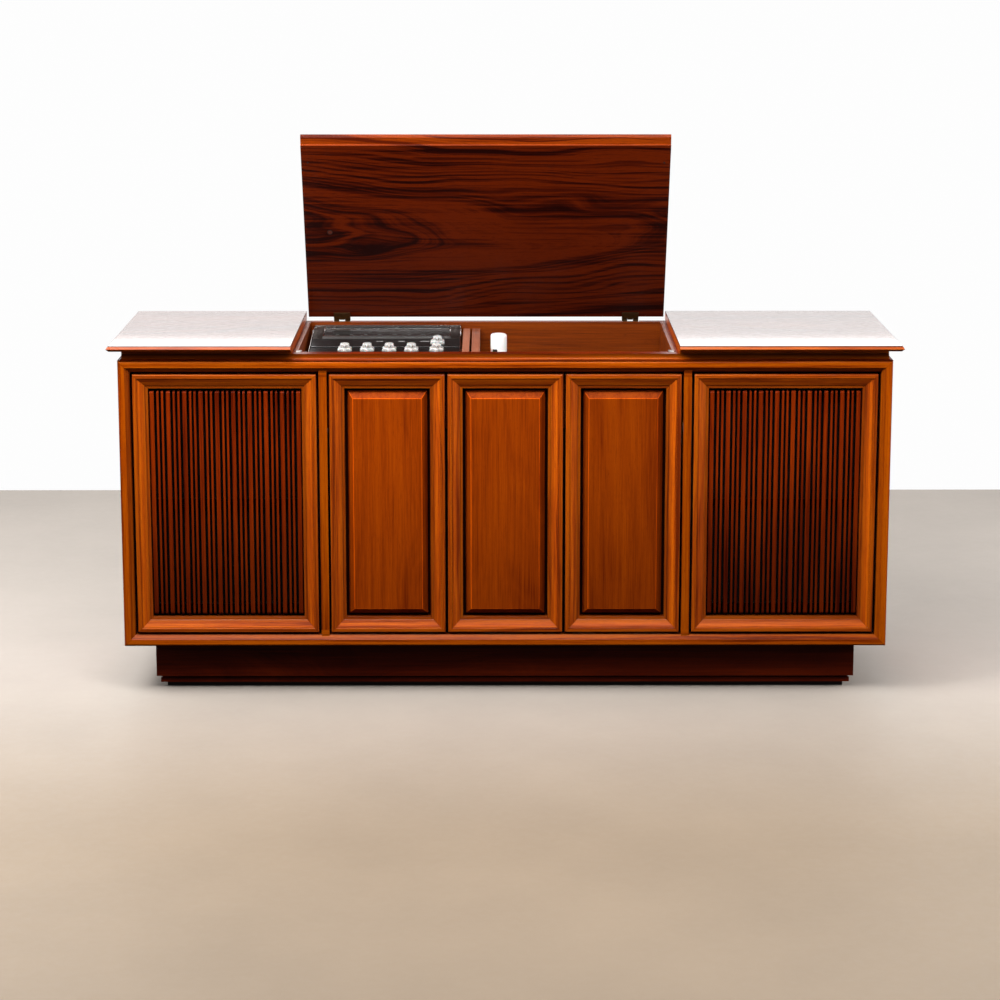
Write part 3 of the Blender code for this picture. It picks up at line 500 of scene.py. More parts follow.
def dress_woodwork():
    # The frames' edge stops paint light and shade across their mouldings, and fade paints shade towards the
    # bottom.
    for index, name in enumerate(("left_grille_frame", "right_grille_frame", "left_panel_frame",
                                  "centre_panel_frame", "right_panel_frame")):
        middle, half = box_middle(name)
        finish = wood(name + "_walnut", WALNUT, "frame", seed=3.0 + index * 1.7, rings=110, centre=0.6,
                      slope=0.02,
                      figure=0.12, edges=FRAME_PAINTED_LIGHT_SHADE_AND_GLAZE, middle=middle, half=half, strengths=STRAIGHT, coat=0.16,
                      coat_rough=0.28, fade=(2, 0.12, 0.66, 0.84))
        dress(name, finish, 0.0005, 2, 24)
    middle, half = box_middle("face_frame")
    # Painted light and shade across the face frame: darker at the outer arris and down the chamfer, darkest
    # at its inner edge by the gap, lighter on the flat. Fade paints shade towards the bottom.
    rim = [(0.0, 0.55), (0.0030, 0.95), (0.0065, 1.10), (0.0145, 1.05), (0.0160, 0.70), (0.0235, 0.80),
           (0.0252, 0.30), (0.0270, 0.95), (0.04, 0.95)]
    finish = wood("face_frame_walnut", WALNUT, "frame", seed=11.0, rings=100, centre=0.7, slope=0.015,
                  figure=0.12,
                  edges=rim, middle=middle, half=half, strengths=STRAIGHT, coat=0.03, coat_rough=0.28,
                  specular=0.06, fade=(2, 0.12, 0.66, 0.88))
    dress("face_frame", finish, 0.0014, 3, 30)
    for index, name in enumerate(("left_raised_panel", "centre_raised_panel", "right_raised_panel")):
        # Each panel gets a paler copy of its finish on the bevelled arrises: a painted highlight.
        panel = dress(name, panel_wood(name, index), 0.0010, 2, 20)
        panel.data.materials.append(panel_wood(name, index, painted_highlight_gain=2.3))
        panel.modifiers["arris"].material = 1
    for index, name in enumerate(("left_grille_slats", "right_grille_slats")):
        low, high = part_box(name)
        # Painted shade: the slats' sides and the battens behind them turn black with depth, and fade darkens
        # them strongly towards the bottom.
        finish = wood(name + "_walnut", SLAT_WALNUT, "xyz", seed=21 + index * 4, rings=120, centre=0.5,
                      slope=0.01,
                      figure=0.1, painted_recess_shade=(low.y + 0.0022, low.y + 0.0052, 0.99), strengths=(0.5, 0.9, 0.7, 1.0),
                      fade=(2, 0.17, 0.66, 0.42), **DULL)
        dress(name, finish, 0.0004, 1, 30)
    for name, seed in (("left_side_panel", 31.0), ("right_side_panel", 36.0)):
        finish = wood(name + "_walnut", WALNUT, "yxz", seed=seed, rings=26, centre=0.10, slope=0.16,
                      figure=0.30,
                      strengths=(0.8, 0.8, 0.5, 0.6))
        dress(name, finish, 0.0006)
    # The neck is a darker copy of the face frame's walnut: painted shade under the tops' overhang. Its fade
    # is a painted shadow, darkest just under the tops.
    neck_painted_shade_walnut = [[value * 0.75 for value in colour] for colour in WALNUT]
    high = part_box("top_neck_frame")[1].z
    finish = wood("neck_walnut", neck_painted_shade_walnut, "zyx", seed=41, rings=90, centre=0.5, slope=0.02, figure=0.12,
                  strengths=STRAIGHT, fade=(2, high - 0.0005, high - 0.0100, 0.40), **DULL)
    neck = dress("top_neck_frame", finish, 0.0004, 1, 30)
    # The neck's upward faces get the dark plinth walnut: painted shade.
    ledge = wood("neck_ledge_painted_shade", PLINTH_WALNUT, "zyx", seed=43, rings=90, centre=0.5, slope=0.02,
                 figure=0.12,
                 strengths=STRAIGHT, **DULL)
    face_up(neck, ledge, Vector((0, 0, 1)))
    for index, name in enumerate(("left_fixed_top", "right_fixed_top")):
        surface = wood(name + "_walnut", TOP_WALNUT, "yzx", seed=51 + index * 3, **POLISH)
        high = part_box(name)[1].z
        edge = wood(name + "_edge", WALNUT, "yzx", seed=53 + index, rings=80, centre=0.4, slope=0.03,
                    figure=0.15,
                    strengths=STRAIGHT, fade=(2, high - 0.0006, high - 0.0030, 0.12))
        top = dress(name, edge, 0.0009, 3, 22)
        face_up(top, surface, Vector((0, 0, 1)))
    finish = wood("plinth_walnut", PLINTH_WALNUT, "zyx", seed=61, rings=60, centre=0.3, slope=0.03,
                  figure=0.2)
    dress("plinth_frame", finish, 0.0006)
    # A near-black base under the plinth: painted shade standing in for the dark gap beneath it, with scuffs
    # of wear.
    dress("plinth_base",
          painted("plinth_base_painted_shade", (0.012, 0.006, 0.003), 0.5, wear=0.3, worn=(0.10, 0.06, 0.03)),
          0.0006)
    inner = wood("well_board", WELL_WALNUT, "zyx", seed=71, rings=60, centre=0.25, slope=0.03, figure=0.25,
                 gloss=0.42, coat=0.08, strengths=(0.45, 0.6, 0.7, 0.7))
    dress("well_box", inner, 0.0004, 1, 30)
    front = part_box("face_frame")[0].y
    # Painted shade: the boards' front parts, seen through the gaps, turn black.
    raw = wood("plain_board", BOARD_WOOD, "zyx", seed=76, rings=55, centre=0.3, slope=0.03, figure=0.3,
               gloss=0.6,
               coat=0.0, painted_recess_shade=(front + 0.080, front + 0.056, 0.98), specular=0.1)
    for name in ("bottom_panel", "left_partition", "right_partition", "well_floor"):
        dress(name, raw, 0.0006)
    side = wood("side_board", SIDE_WOOD, "zxy", seed=79, rings=70, centre=0.3, slope=0.03, figure=0.2,
                gloss=0.45,
                coat=0.08)
    for name in ("tuner_side_board", "changer_side_board"):
        dress(name, side, 0.0006)
    baffle = painted("baffle_black", (0.006, 0.0055, 0.005), 0.8, speckle=0.3)
    for name in ("left_speaker_baffle", "right_speaker_baffle"):
        dress(name, baffle, 0.0006)
    dress("back_panel", hardboard())


def face_up(obj, finish, up):
    """Gives the faces that look up their own finish, and leaves the arrises with the edge's."""
    obj.data.materials.append(finish)
    for polygon in obj.data.polygons:
        if polygon.normal.dot(up) > 0.8:
            polygon.material_index = len(obj.data.materials) - 1
    obj.modifiers["arris"].material = 0


def panel_wood(name, index, painted_highlight_gain=1.0):
    """A fielded panel: fine upright grain, with painted shade turning the deep quirk black. A lift above one
    makes a paler copy for the arrises: a painted highlight.
    """
    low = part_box(name)[0]
    # Painted light: the left panel lighter and the right one darker, as the light falls. Fade paints shade
    # towards the bottom, and sunk paints the quirk black.
    tone = (1.06, 0.98, 0.85)[index] * painted_highlight_gain
    colours = [[value * tone for value in colour] for colour in PANEL_WALNUT]
    name += "_walnut" if painted_highlight_gain == 1.0 else "_arris"
    return wood(name, colours, "xyz", seed=81 + index * 5.3, rings=34, centre=0.20, slope=0.10, figure=0.16,
                gloss=0.50, coat=0.0, specular=0.05, strengths=(0.40, 0.70, 1.0, 0.50),
                painted_recess_shade=(low.y + 0.0120, low.y + 0.0126, 0.95), fade=(2, 0.15, 0.60, 0.78))


def dress_lid():
    joint = JOINTS["lid_hinge"]
    angle = -math.radians(joint["range_deg"][0])
    pivot = joint["pos_m"]
    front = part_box("left_fixed_top")[0].y
    eyes = (((-0.195 + 0.2349, -0.330), (0.024, 0.060), 0.80), ((0.03, -0.315), (0.028, 0.085), 0.85))
    # fade paints shade towards the hinge end.
    under = wood("lid_walnut", LID_WALNUT, "yzx", seed=4.4, rings=330, centre=0.50, slope=0.020, figure=0.052,
                 gloss=0.42, coat=0.03, coat_rough=0.25, turn=(angle, pivot), eyes=eyes, specular=0.12,
                 strengths=(1.35, 1.7, 0.6, 0.6), lip=(front + 0.0208, LIP_WALNUT),
                 fade=(1, front + 0.48, front + 0.10, 0.66))
    over = wood("lid_top_walnut", TOP_WALNUT, "yzx", seed=57, turn=(angle, pivot), **POLISH)
    lid = dress("lid", under, 0.0009, 3, 22)
    face_up(lid, over, Matrix.Rotation(-angle, 3, "X") @ Vector((0, 0, 1)))


def closed_lid():
    """Takes a point on the open lid to where it is when the lid is shut."""
    joint = JOINTS["lid_hinge"]
    pivot = Vector(joint["pos_m"])
    spin = Matrix.Rotation(-math.radians(joint["range_deg"][0]), 4, "X")
    return Matrix.Translation(pivot) @ spin @ Matrix.Translation(-pivot)


def dress_hardware():
    bronze = metal("hinge_bronze", (0.11, 0.065, 0.03), 0.42, tarnish=0.5, dull=(0.02, 0.013, 0.008))
    for name in ("left_hinge_fixed_leaf", "right_hinge_fixed_leaf", "left_hinge_moving_leaf",
                 "right_hinge_moving_leaf"):
        dress(name, bronze, 0.0002, 1, 30)
    black = painted("panel_enamel", (0.006, 0.006, 0.006), 0.34, speckle=0.25, coat=0.05)
    dress("control_panel", black, 0.0004, 2, 30)
    dress("dial_glass", smoked_glass(), 0.0003, 2, 30)
    dress("dial_pointer", painted("pointer_red", (0.55, 0.03, 0.01), 0.35), 0.0002, 1, 30)
    steel = metal("plated_steel", (0.42, 0.42, 0.40), 0.34, brushed=(40, 500, 500), tarnish=0.35,
                  dull=(0.10, 0.08, 0.05))
    dress("tuner_chassis", steel, 0.0006, 2, 30)
    dress("drive_motor", steel, 0.0006, 2, 30)
    dress("motor_pulley", metal("pulley_brass", (0.55, 0.40, 0.16), 0.25), smooth=True)
    deck = painted("deck_enamel", (0.185, 0.175, 0.160), 0.38, speckle=0.10, coat=0.3, scale=900.0,
                   bump=0.0002)
    dress("changer_baseplate", deck, 0.0012, 3, 30)
    paper = speaker_paper()
    for name in ("left_speaker", "right_speaker"):
        dress(name, paper)
    dress("idler_wheel", rubber("idler_rubber"))
    dress("mains_gland", painted("gland_plastic", (0.012, 0.012, 0.012), 0.5), smooth=True)


# ---- Mesh helpers for the new pieces ----


def piece(name, bm, material, body, replaces=(), smooth=35.0, recalc=True):
    """Makes a bmesh into a piece that rides on a body."""
    if recalc:
        bmesh.ops.recalc_face_normals(bm, faces=bm.faces)
    mesh = bpy.data.meshes.new(name)
    bm.to_mesh(mesh)
    bm.free()
    mesh.materials.append(material)
    if smooth:
        mesh.shade_smooth()
        mesh.set_sharp_from_angle(angle=math.radians(smooth))
    obj = bpy.data.objects.new(name, mesh)
    bpy.context.scene.collection.objects.link(obj)
    if body is not None:
        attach(obj, body)
    if replaces:
        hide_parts(*replaces)
    return obj


def skin(bm, loops, closed=False, cap=True):
    """Faces between loops of points with equal counts."""
    rows = [[bm.verts.new(point) for point in loop] for loop in loops]
    pairs = list(zip(rows, rows[1:])) + ([(rows[-1], rows[0])] if closed else [])
    for low, high in pairs:
        for i in range(len(low)):
            j = (i + 1) % len(low)
            bm.faces.new((low[i], low[j], high[j], high[i]))
    if cap and not closed:
        bm.faces.new(rows[0][::-1])
        bm.faces.new(rows[-1])
    return rows


def ring_points(radius, z, count, centre, wave=0.0, lobes=0, phase=0.0):
    points = []
    for i in range(count):
        turn = 2 * math.pi * i / count
        r = radius * (1 + wave * math.cos(lobes * turn + phase))
        points.append(Vector((centre[0] + r * math.cos(turn), centre[1] + r * math.sin(turn), z)))
    return points


def turned(bm, profile, centre=(0, 0), count=64, closed=False):
    skin(bm, [ring_points(r, z, count, centre) for r, z in profile], closed=closed)


def rounded_box(bm, x, y, z, bevel, segments=2):
    made = bmesh.ops.create_cube(bm, size=1.0)
    verts = made["verts"]
    centre = Vector(((x[0] + x[1]) / 2, (y[0] + y[1]) / 2, (z[0] + z[1]) / 2))
    size = Vector((x[1] - x[0], y[1] - y[0], z[1] - z[0]))
    for vert in verts:
        vert.co = Vector(vert.co[i] * size[i] + centre[i] for i in range(3))
    edges = list({edge for vert in verts for edge in vert.link_edges})
    if bevel:
        out = bmesh.ops.bevel(bm, geom=verts + edges, offset=bevel, segments=segments, profile=0.5,
                              affect="EDGES")
        verts = list({v for f in out["faces"] for v in f.verts} | {v for v in verts if v.is_valid})
    return verts


def box_piece(name, x, y, z, bevel, material, matrix=None):
    """A box on the cabinet."""
    bm = bmesh.new()
    rounded_box(bm, x, y, z, bevel)
    if matrix is not None:
        bmesh.ops.transform(bm, matrix=matrix, verts=bm.verts)
    piece(name, bm, material, "cabinet")


# ---- Control panel details ----


FRONT_ROW = -0.2027  # of knobs, from the control panel's rear edge down its slope
TUNING_ROW = -0.1470
KNOB_PLATE = 0.0175  # the radius of the plate under a knob


def panel_matrix():
    """From the plate's own frame, with its origin at the rear left corner, to the row frame."""
    joint = JOINTS["volume_knob_turn"]
    axis = Vector(joint["axis"])
    slope = math.atan2(axis.y, -axis.z)
    place = Vector(joint["pos_m"])
    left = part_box("control_panel")[0].x
    local = Vector((place.x - left, FRONT_ROW, 0))
    spin = Matrix.Rotation(slope, 4, "X")
    return Matrix.Translation(place - spin @ local) @ spin


def knob_shape(bm, matrix, centre):
    """A six-lobed rosette: a wide skirt of petals, a narrower tier, and a domed crown."""
    tiers = [(0.0132, 0.0008, 0.12), (0.0148, 0.0022, 0.17), (0.0151, 0.0050, 0.18), (0.0147, 0.0078, 0.18),
             (0.0128, 0.0096, 0.16), (0.0104, 0.0106, 0.13), (0.0100, 0.0140, 0.15), (0.0097, 0.0166, 0.15),
             (0.0084, 0.0186, 0.12), (0.0060, 0.0196, 0.07), (0.0030, 0.0199, 0.02), (0.0008, 0.0199, 0.0)]
    loops = []
    for radius, height, wave in tiers:
        points = ring_points(radius, height, 96, (0, 0), wave, 6, math.pi)
        loops.append([matrix @ (point + Vector((centre[0], centre[1], 0))) for point in points])
    skin(bm, loops)


def make_panel_details():
    matrix = panel_matrix()
    low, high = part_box("control_panel")
    width = high.x - low.x
    chrome = metal("panel_chrome", (0.80, 0.79, 0.77), 0.16, tarnish=0.35, dull=(0.10, 0.08, 0.06))
    strip = painted("panel_strip_grey", (0.045, 0.044, 0.042), 0.35, speckle=0.3, coat=0.3)
    pale = painted("panel_marking", (0.35, 0.34, 0.33), 0.5)
    speckled = metal("panel_side_plate", (0.11, 0.095, 0.085), 0.42, brushed=(120, 30, 30), tarnish=0.7,
                     dull=(0.025, 0.018, 0.013))
    back, front = -0.0022, -0.2430

    rim = 0.0022
    for name, x, y in (("panel_rim_left", (0.0, rim), (front, back)),
                       ("panel_rim_right", (width - rim, width), (front, back)),
                       ("panel_rim_rear", (rim, width - rim), (back - rim, back))):
        box_piece(name, x, y, (0.0002, 0.0030), 0.0006, chrome, matrix)
    window = (0.0266, width - 0.0254, -0.0870, -0.0140)
    bead = 0.0016
    for name, x, y in (("dial_rim_left", (window[0] - bead, window[0] + 0.0004), (window[2], window[3])),
                       ("dial_rim_right", (window[1] - 0.0004, window[1] + bead), (window[2], window[3])),
                       ("dial_rim_rear", (window[0] - bead, window[1] + bead),
                        (window[3] - 0.0004, window[3] + bead)),
                       ("dial_rim_front", (window[0] - bead, window[1] + bead),
                        (window[2] - bead, window[2] + 0.0004))):
        box_piece(name, x, y, (0.0002, 0.0022), 0.0005, chrome, matrix)
    for name, x in (("panel_plate_left", (rim + 0.0006, window[0] - bead - 0.0006)),
                    ("panel_plate_right", (window[1] + bead + 0.0006, width - rim - 0.0006))):
        box_piece(name, x, (-0.1075, back - rim - 0.0006), (0.0001, 0.0009), 0.0002, speckled,
                  matrix)
    box_piece("panel_strip", (rim + 0.0006, width - rim - 0.0006), (-0.1070, -0.0912), (0.0001, 0.0008),
              0.0002,
              strip, matrix)
    knobs = [("volume_knob", 0.0809), ("bass_knob", 0.1308), ("treble_knob", 0.1803),
             ("balance_knob", 0.2294),
             ("mode_knob", 0.2856)]
    bm = bmesh.new()
    for (_, left), (_, right) in zip(knobs[1:], knobs[2:]):
        x = (left + KNOB_PLATE, right - KNOB_PLATE)
        rounded_box(bm, x, (-0.1272, -0.1258), (0.0002, 0.0010), 0.0002, 1)
    bmesh.ops.transform(bm, matrix=matrix, verts=bm.verts)
    piece("panel_marks", bm, pale, "cabinet")
    bm = bmesh.new()
    rounded_box(bm, (rim + 0.0006, width - rim - 0.0006), (-0.1710, -0.1680), (0.0001, 0.0016), 0.0007, 3)
    bmesh.ops.transform(bm, matrix=matrix, verts=bm.verts)
    piece("panel_bead", bm, painted("bead_black", (0.01, 0.01, 0.01), 0.12, coat=0.8), "cabinet")

    bm = bmesh.new()
    for row, count, long_every in ((-0.036, 60, 5), (-0.058, 48, 6)):
        for i in range(count + 1):
            x = window[0] + 0.020 + (window[1] - window[0] - 0.040) * i / count
            length = 0.0050 if i % long_every == 0 else 0.0026
            rounded_box(bm, (x - 0.00016, x + 0.00016), (row, row + length), (-0.00055, -0.0002), 0, 1)
        rounded_box(bm, (window[0] + 0.018, window[1] - 0.018), (row - 0.0003, row), (-0.00055, -0.0002), 0,
                    1)
    bmesh.ops.transform(bm, matrix=matrix, verts=bm.verts)
    piece("dial_scale", bm, painted("scale_print", (0.10, 0.10, 0.095), 0.6), "cabinet",
          smooth=0)
    for row, labels in ((-0.0278, (88, 92, 96, 100, 104, 108)),
                        (-0.0720, (54, 60, 70, 80, 100, 120, 140, 160))):
        for i, label in enumerate(labels):
            curve = bpy.data.curves.new("dial_number", "FONT")
            curve.body = str(label)
            curve.size = 0.0075
            curve.align_x = "CENTER"
            curve.extrude = 0.0001
            curve.materials.append(bpy.data.materials["scale_print"])
            number = bpy.data.objects.new(f"dial_number_{label}_{i}_{len(labels)}", curve)
            bpy.context.scene.collection.objects.link(number)
            x = window[0] + 0.030 + (window[1] - window[0] - 0.060) * i / (len(labels) - 1)
            number.matrix_world = matrix @ Matrix.Translation((x, row, -0.0003))
            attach(number, "cabinet")

    white = pearl_plastic("knob_pearl", (0.40, 0.39, 0.375))
    dot = painted("knob_pin", (0.035, 0.012, 0.009), 0.45, coat=0.1)
    places = dict(knobs)
    places["tuning_knob"] = 0.2864
    for name, x in places.items():
        y = TUNING_ROW if name == "tuning_knob" else FRONT_ROW
        bm = bmesh.new()
        knob_shape(bm, matrix, (x, y))
        piece(name + "_rosette", bm, white, name, (name,), smooth=50)
        bm = bmesh.new()
        tilt = Matrix.Translation((x, y - 0.0086, 0.0150)) @ Matrix.Rotation(math.radians(52), 4, "X")
        profile = [(0.0038, -0.0020), (0.0038, 0.0006), (0.0030, 0.0011), (0.0014, 0.0013), (0.0002, 0.0013)]
        skin(bm, [ring_points(r, z, 24, (0, 0)) for r, z in profile])
        bmesh.ops.transform(bm, matrix=matrix @ tilt, verts=bm.verts)
        piece(name + "_pin", bm, dot, name)
        bm = bmesh.new()
        profile = [(KNOB_PLATE, 0.0001), (KNOB_PLATE, 0.0004), (0.0166, 0.0006), (0.0140, 0.0006),
                   (0.0140, 0.0001)]
        skin(bm, [[p + Vector((x, y, 0)) for p in ring_points(r, z, 48, (0, 0))] for r, z in profile])
        bmesh.ops.transform(bm, matrix=matrix, verts=bm.verts)
        piece(name + "_escutcheon", bm, strip, "cabinet")


# ---- Record changer details ----


def make_changer():
    spindle = Vector(JOINTS["platter_spin"]["pos_m"])
    centre = (spindle.x, spindle.y)
    low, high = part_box("platter")
    radius = (high.x - low.x) / 2
    turned_alloy = turned_metal("platter_turned", (0.62, 0.62, 0.61), centre)
    bm = bmesh.new()
    r, z0, z1 = radius, low.z, high.z
    profile = [(r - 0.0055, z1 - 0.0175), (r - 0.0055, z1 - 0.0045), (0.0145, z1 - 0.0045),
               (0.0120, z0 + 0.0002),
               (0.0044, z0 + 0.0002), (0.0044, z1 - 0.0002), (r - 0.0060, z1 - 0.0002),
               (r - 0.0052, z1 - 0.0009),
               (r - 0.0044, z1 - 0.0002), (r - 0.0022, z1 - 0.0003), (r - 0.0006, z1 - 0.0014),
               (r - 0.0001, z1 - 0.0030),
               (r - 0.0001, z1 - 0.0165), (r - 0.0008, z1 - 0.0175)]
    turned(bm, profile, centre, 128, closed=True)
    piece("platter_turned_dish", bm, turned_alloy, "platter", ("platter",), smooth=30)

    low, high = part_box("platter_mat")
    bm = bmesh.new()
    outer = (high.x - low.x) / 2 - 0.0002
    profile = [(0.0048, low.z), (0.0048, high.z - 0.0010)]
    at = 0.012
    while at < outer - 0.004:
        profile += [(at, high.z - 0.0010), (at + 0.0006, high.z - 0.0001), (at + 0.0016, high.z - 0.0001),
                    (at + 0.0022, high.z - 0.0010)]
        at += 0.0058 if at < 0.10 else 0.0040
    profile += [(outer - 0.0012, high.z - 0.0004), (outer, high.z - 0.0014), (outer, low.z)]
    turned(bm, profile, centre, 128, closed=True)
    piece("platter_mat_ribbed", bm, rubber("mat_rubber"), "platter", ("platter_mat",),
          smooth=30)

    chrome = metal("spindle_chrome", (0.78, 0.78, 0.78), 0.12, tarnish=0.1)
    low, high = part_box("spindle")
    bm = bmesh.new()
    profile = [(0.0069, low.z + 0.0001), (0.0069, low.z + 0.0008), (0.0036, low.z + 0.0010),
               (0.0036, high.z - 0.014),
               (0.0034, high.z - 0.010), (0.0030, high.z - 0.004), (0.0016, high.z - 0.0008),
               (0.0003, high.z)]
    turned(bm, profile, centre, 40)
    rounded_box(bm, (centre[0] - 0.0008, centre[0] + 0.0042), (centre[1] - 0.0007, centre[1] + 0.0007),
                (high.z - 0.030, high.z - 0.024), 0.0004, 2)
    piece("spindle_pin", bm, chrome, "cabinet", ("spindle",))
    make_arm(chrome)
    make_overarm(chrome)
    make_changer_knob()


def make_arm(chrome):
    pivot = Vector(JOINTS["tonearm_lift"]["pos_m"])
    cream = pearl_plastic("arm_cream", (0.74, 0.70, 0.62), rough=0.25)
    low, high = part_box("tonearm")
    front = low.y
    x, z = pivot.x, pivot.z
    bm = bmesh.new()
    sections = [(high.y - 0.0006, 0.0050, 0.0046), (high.y - 0.0030, 0.0072, 0.0066),
                (high.y - 0.018, 0.0074, 0.0068),
                (high.y - 0.0210, 0.0060, 0.0056), (pivot.y + 0.0150, 0.0046, 0.0038),
                (pivot.y, 0.0052, 0.0039),
                (pivot.y - 0.030, 0.0046, 0.0038), (pivot.y - 0.110, 0.0042, 0.0036),
                (front + 0.052, 0.0038, 0.0034),
                (front + 0.040, 0.0058, 0.0040), (front + 0.032, 0.0074, 0.0046),
                (front + 0.006, 0.0077, 0.0047),
                (front + 0.0006, 0.0064, 0.0036)]
    loops = []
    for y, half, rise in sections:
        loops.append([Vector((x + half * se(math.cos(t)), y, z + rise * se(math.sin(t)))) for t in turns(32)])
    skin(bm, loops)
    piece("tonearm_shell", bm, cream, "tonearm", ("tonearm",), smooth=50)
    bm = bmesh.new()
    rounded_box(bm, (x - 0.0052, x + 0.0052), (front + 0.006, front + 0.026), (low.z + 0.0042, z - 0.0030),
                0.0010, 2)
    skin(bm, [ring_points(r, h, 16, (x, front + 0.0140))
              for r, h in ((0.0004, low.z + 0.0002), (0.0012, low.z + 0.0030), (0.0012, low.z + 0.0060))])
    rounded_box(bm, (x + 0.0040, x + 0.0076), (front + 0.009, front + 0.012), (z - 0.0035, z - 0.0020),
                0.0005, 2)
    piece("cartridge", bm, painted("cartridge_black", (0.012, 0.012, 0.013), 0.3, coat=0.3), "tonearm")
    post = painted("arm_post_grey", (0.20, 0.19, 0.175), 0.35, coat=0.4)
    low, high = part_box("tonearm_post")
    bm = bmesh.new()
    profile = [(0.0109, low.z + 0.0001), (0.0109, low.z + 0.0030), (0.0086, low.z + 0.0050),
               (0.0080, low.z + 0.0200),
               (0.0092, low.z + 0.0260), (0.0108, low.z + 0.0290), (0.0108, z - 0.0086), (0.0104, z - 0.0082)]
    turned(bm, profile, (x, pivot.y), 64)
    for side in (-1, 1):
        ear = sorted((x + side * 0.0079, x + side * 0.0099))
        rounded_box(bm, ear, (pivot.y - 0.0048, pivot.y + 0.0048), (z - 0.0100, high.z - 0.0001), 0.0008, 3)
    piece("tonearm_turret", bm, post, "tonearm_post", ("tonearm_post",))
    bm = bmesh.new()
    for side in (-1, 1):
        ends = (x + side * 0.0066, x + side * 0.0078)
        skin(bm, [[Vector((end, pivot.y + 0.0015 * math.cos(t), z + 0.0015 * math.sin(t))) for t in turns(16)]
                  for end in ends])
    piece("tonearm_trunnion", bm, chrome, "tonearm")


def turns(count):
    return [2 * math.pi * i / count for i in range(count)]


def se(value, power=0.72):
    """Squares off a circle a little, for rounded-rectangle sections."""
    return math.copysign(abs(value) ** power, value)


def make_overarm(chrome):
    pivot = Vector(JOINTS["overarm_swing"]["pos_m"])
    spindle = Vector(JOINTS["platter_spin"]["pos_m"])
    low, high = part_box("overarm")
    direction = Vector((spindle.x - pivot.x, spindle.y - pivot.y)).normalized()
    across = Vector((-direction.y, direction.x))
    bm = bmesh.new()
    profile = [(0.0059, low.z + 0.0001), (0.0059, low.z + 0.0040), (0.0042, low.z + 0.0055),
               (0.0040, high.z - 0.0110),
               (0.0058, high.z - 0.0090), (0.0058, high.z - 0.0010), (0.0046, high.z - 0.0001)]
    turned(bm, profile, (pivot.x, pivot.y), 48)
    loops = []
    for along, half in ((-0.0038, 0.0044), (0.0, 0.0054), (0.060, 0.0046), (0.110, 0.0050), (0.128, 0.0072),
                        (0.136, 0.0066), (0.1395, 0.0042)):
        middle = Vector((pivot.x, pivot.y)) + along * direction
        centre_z, rise = high.z - 0.0045, 0.0030
        loop = []
        for t in turns(24):
            flat = middle + half * se(math.cos(t)) * across
            loop.append(Vector((flat.x, flat.y, centre_z + rise * se(math.sin(t)))))
        loops.append(loop)
    skin(bm, loops)
    piece("overarm_bar_polished", bm, chrome, "overarm", ("overarm",), smooth=45)


def make_changer_knob():
    low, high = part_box("changer_knob")
    centre = ((low.x + high.x) / 2, (low.y + high.y) / 2)
    cream = pearl_plastic("changer_knob_cream", (0.78, 0.75, 0.68))
    bm = bmesh.new()
    profile = [(0.0119, low.z + 0.0001), (0.0119, low.z + 0.0050), (0.0112, low.z + 0.0068),
               (0.0094, high.z - 0.0068),
               (0.0080, high.z - 0.0066)]
    turned(bm, profile, centre, 64)
    rounded_box(bm, (centre[0] - 0.0018, centre[0] + 0.0018), (centre[1] - 0.0094, centre[1] + 0.0094),
                (high.z - 0.0090, high.z - 0.0001), 0.0008, 3)
    piece("changer_knob_moulded", bm, cream, "changer_knob", ("changer_knob",))


def make_adapter():
    low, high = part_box("adapter_45")
    x, y = (low.x + high.x) / 2, (low.y + high.y) / 2
    radius = (high.x - low.x) / 2
    cream = pearl_plastic("adapter_white", (0.86, 0.85, 0.83), rough=0.3)
    bm = bmesh.new()
    profile = [(0.0042, low.z + 0.0001), (radius - 0.0012, low.z + 0.0001), (radius, low.z + 0.0012),
               (radius, high.z - 0.0060), (radius - 0.0006, high.z - 0.0030),
               (radius - 0.0022, high.z - 0.0011),
               (radius - 0.0050, high.z - 0.0002), (0.0060, high.z - 0.0001), (0.0042, high.z - 0.0010)]
    turned(bm, profile, (x, y), 96, closed=True)
    piece("adapter_45_moulded", bm, cream, "adapter", ("adapter_45",))
    black = painted("adapter_dog_black", (0.008, 0.008, 0.008), 0.4)
    bm = bmesh.new()
    for turn in (-118, 20, 140):
        spin = Matrix.Translation((x, y, 0)) @ Matrix.Rotation(math.radians(turn), 4, "Z")
        verts = rounded_box(bm, (radius - 0.0035, radius + 0.0003), (-0.0056, 0.0056),
                            (high.z - 0.0430, high.z - 0.0335), 0.0005, 2)
        bmesh.ops.transform(bm, matrix=spin, verts=[v for v in verts if v.is_valid])
    piece("adapter_dogs", bm, black, "adapter")


# ---- Grille cloth, ledge hardware and screws ----


def make_cloth():
    material = cloth_material()
    for side in ("left", "right"):
        name = side + "_grille_cloth"
        low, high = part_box(name)
        bm = bmesh.new()
        columns, rows = 40, 60
        middle = (low.y + high.y) / 2
        random.seed(7 if side == "left" else 8)
        grid = []
        for j in range(rows + 1):
            line = []
            for i in range(columns + 1):
                u, v = i / columns, j / rows
                x = low.x + (high.x - low.x) * u
                z = low.z + (high.z - low.z) * v
                slack = 0.0004 * math.sin(math.pi * u) * math.sin(math.pi * v) + random.uniform(-0.00006,
                                                                                                0.00006)
                line.append(bm.verts.new((x, middle + slack, z)))
            grid.append(line)
        for j in range(rows):
            for i in range(columns):
                bm.faces.new((grid[j][i], grid[j][i + 1], grid[j + 1][i + 1], grid[j + 1][i]))
        obj = piece(name + "_weave", bm, material, "cabinet", (name,), smooth=60,
                    recalc=False)
        thick = obj.modifiers.new("thickness", "SOLIDIFY")
        thick.thickness = 0.0007
        thick.offset = 0.0


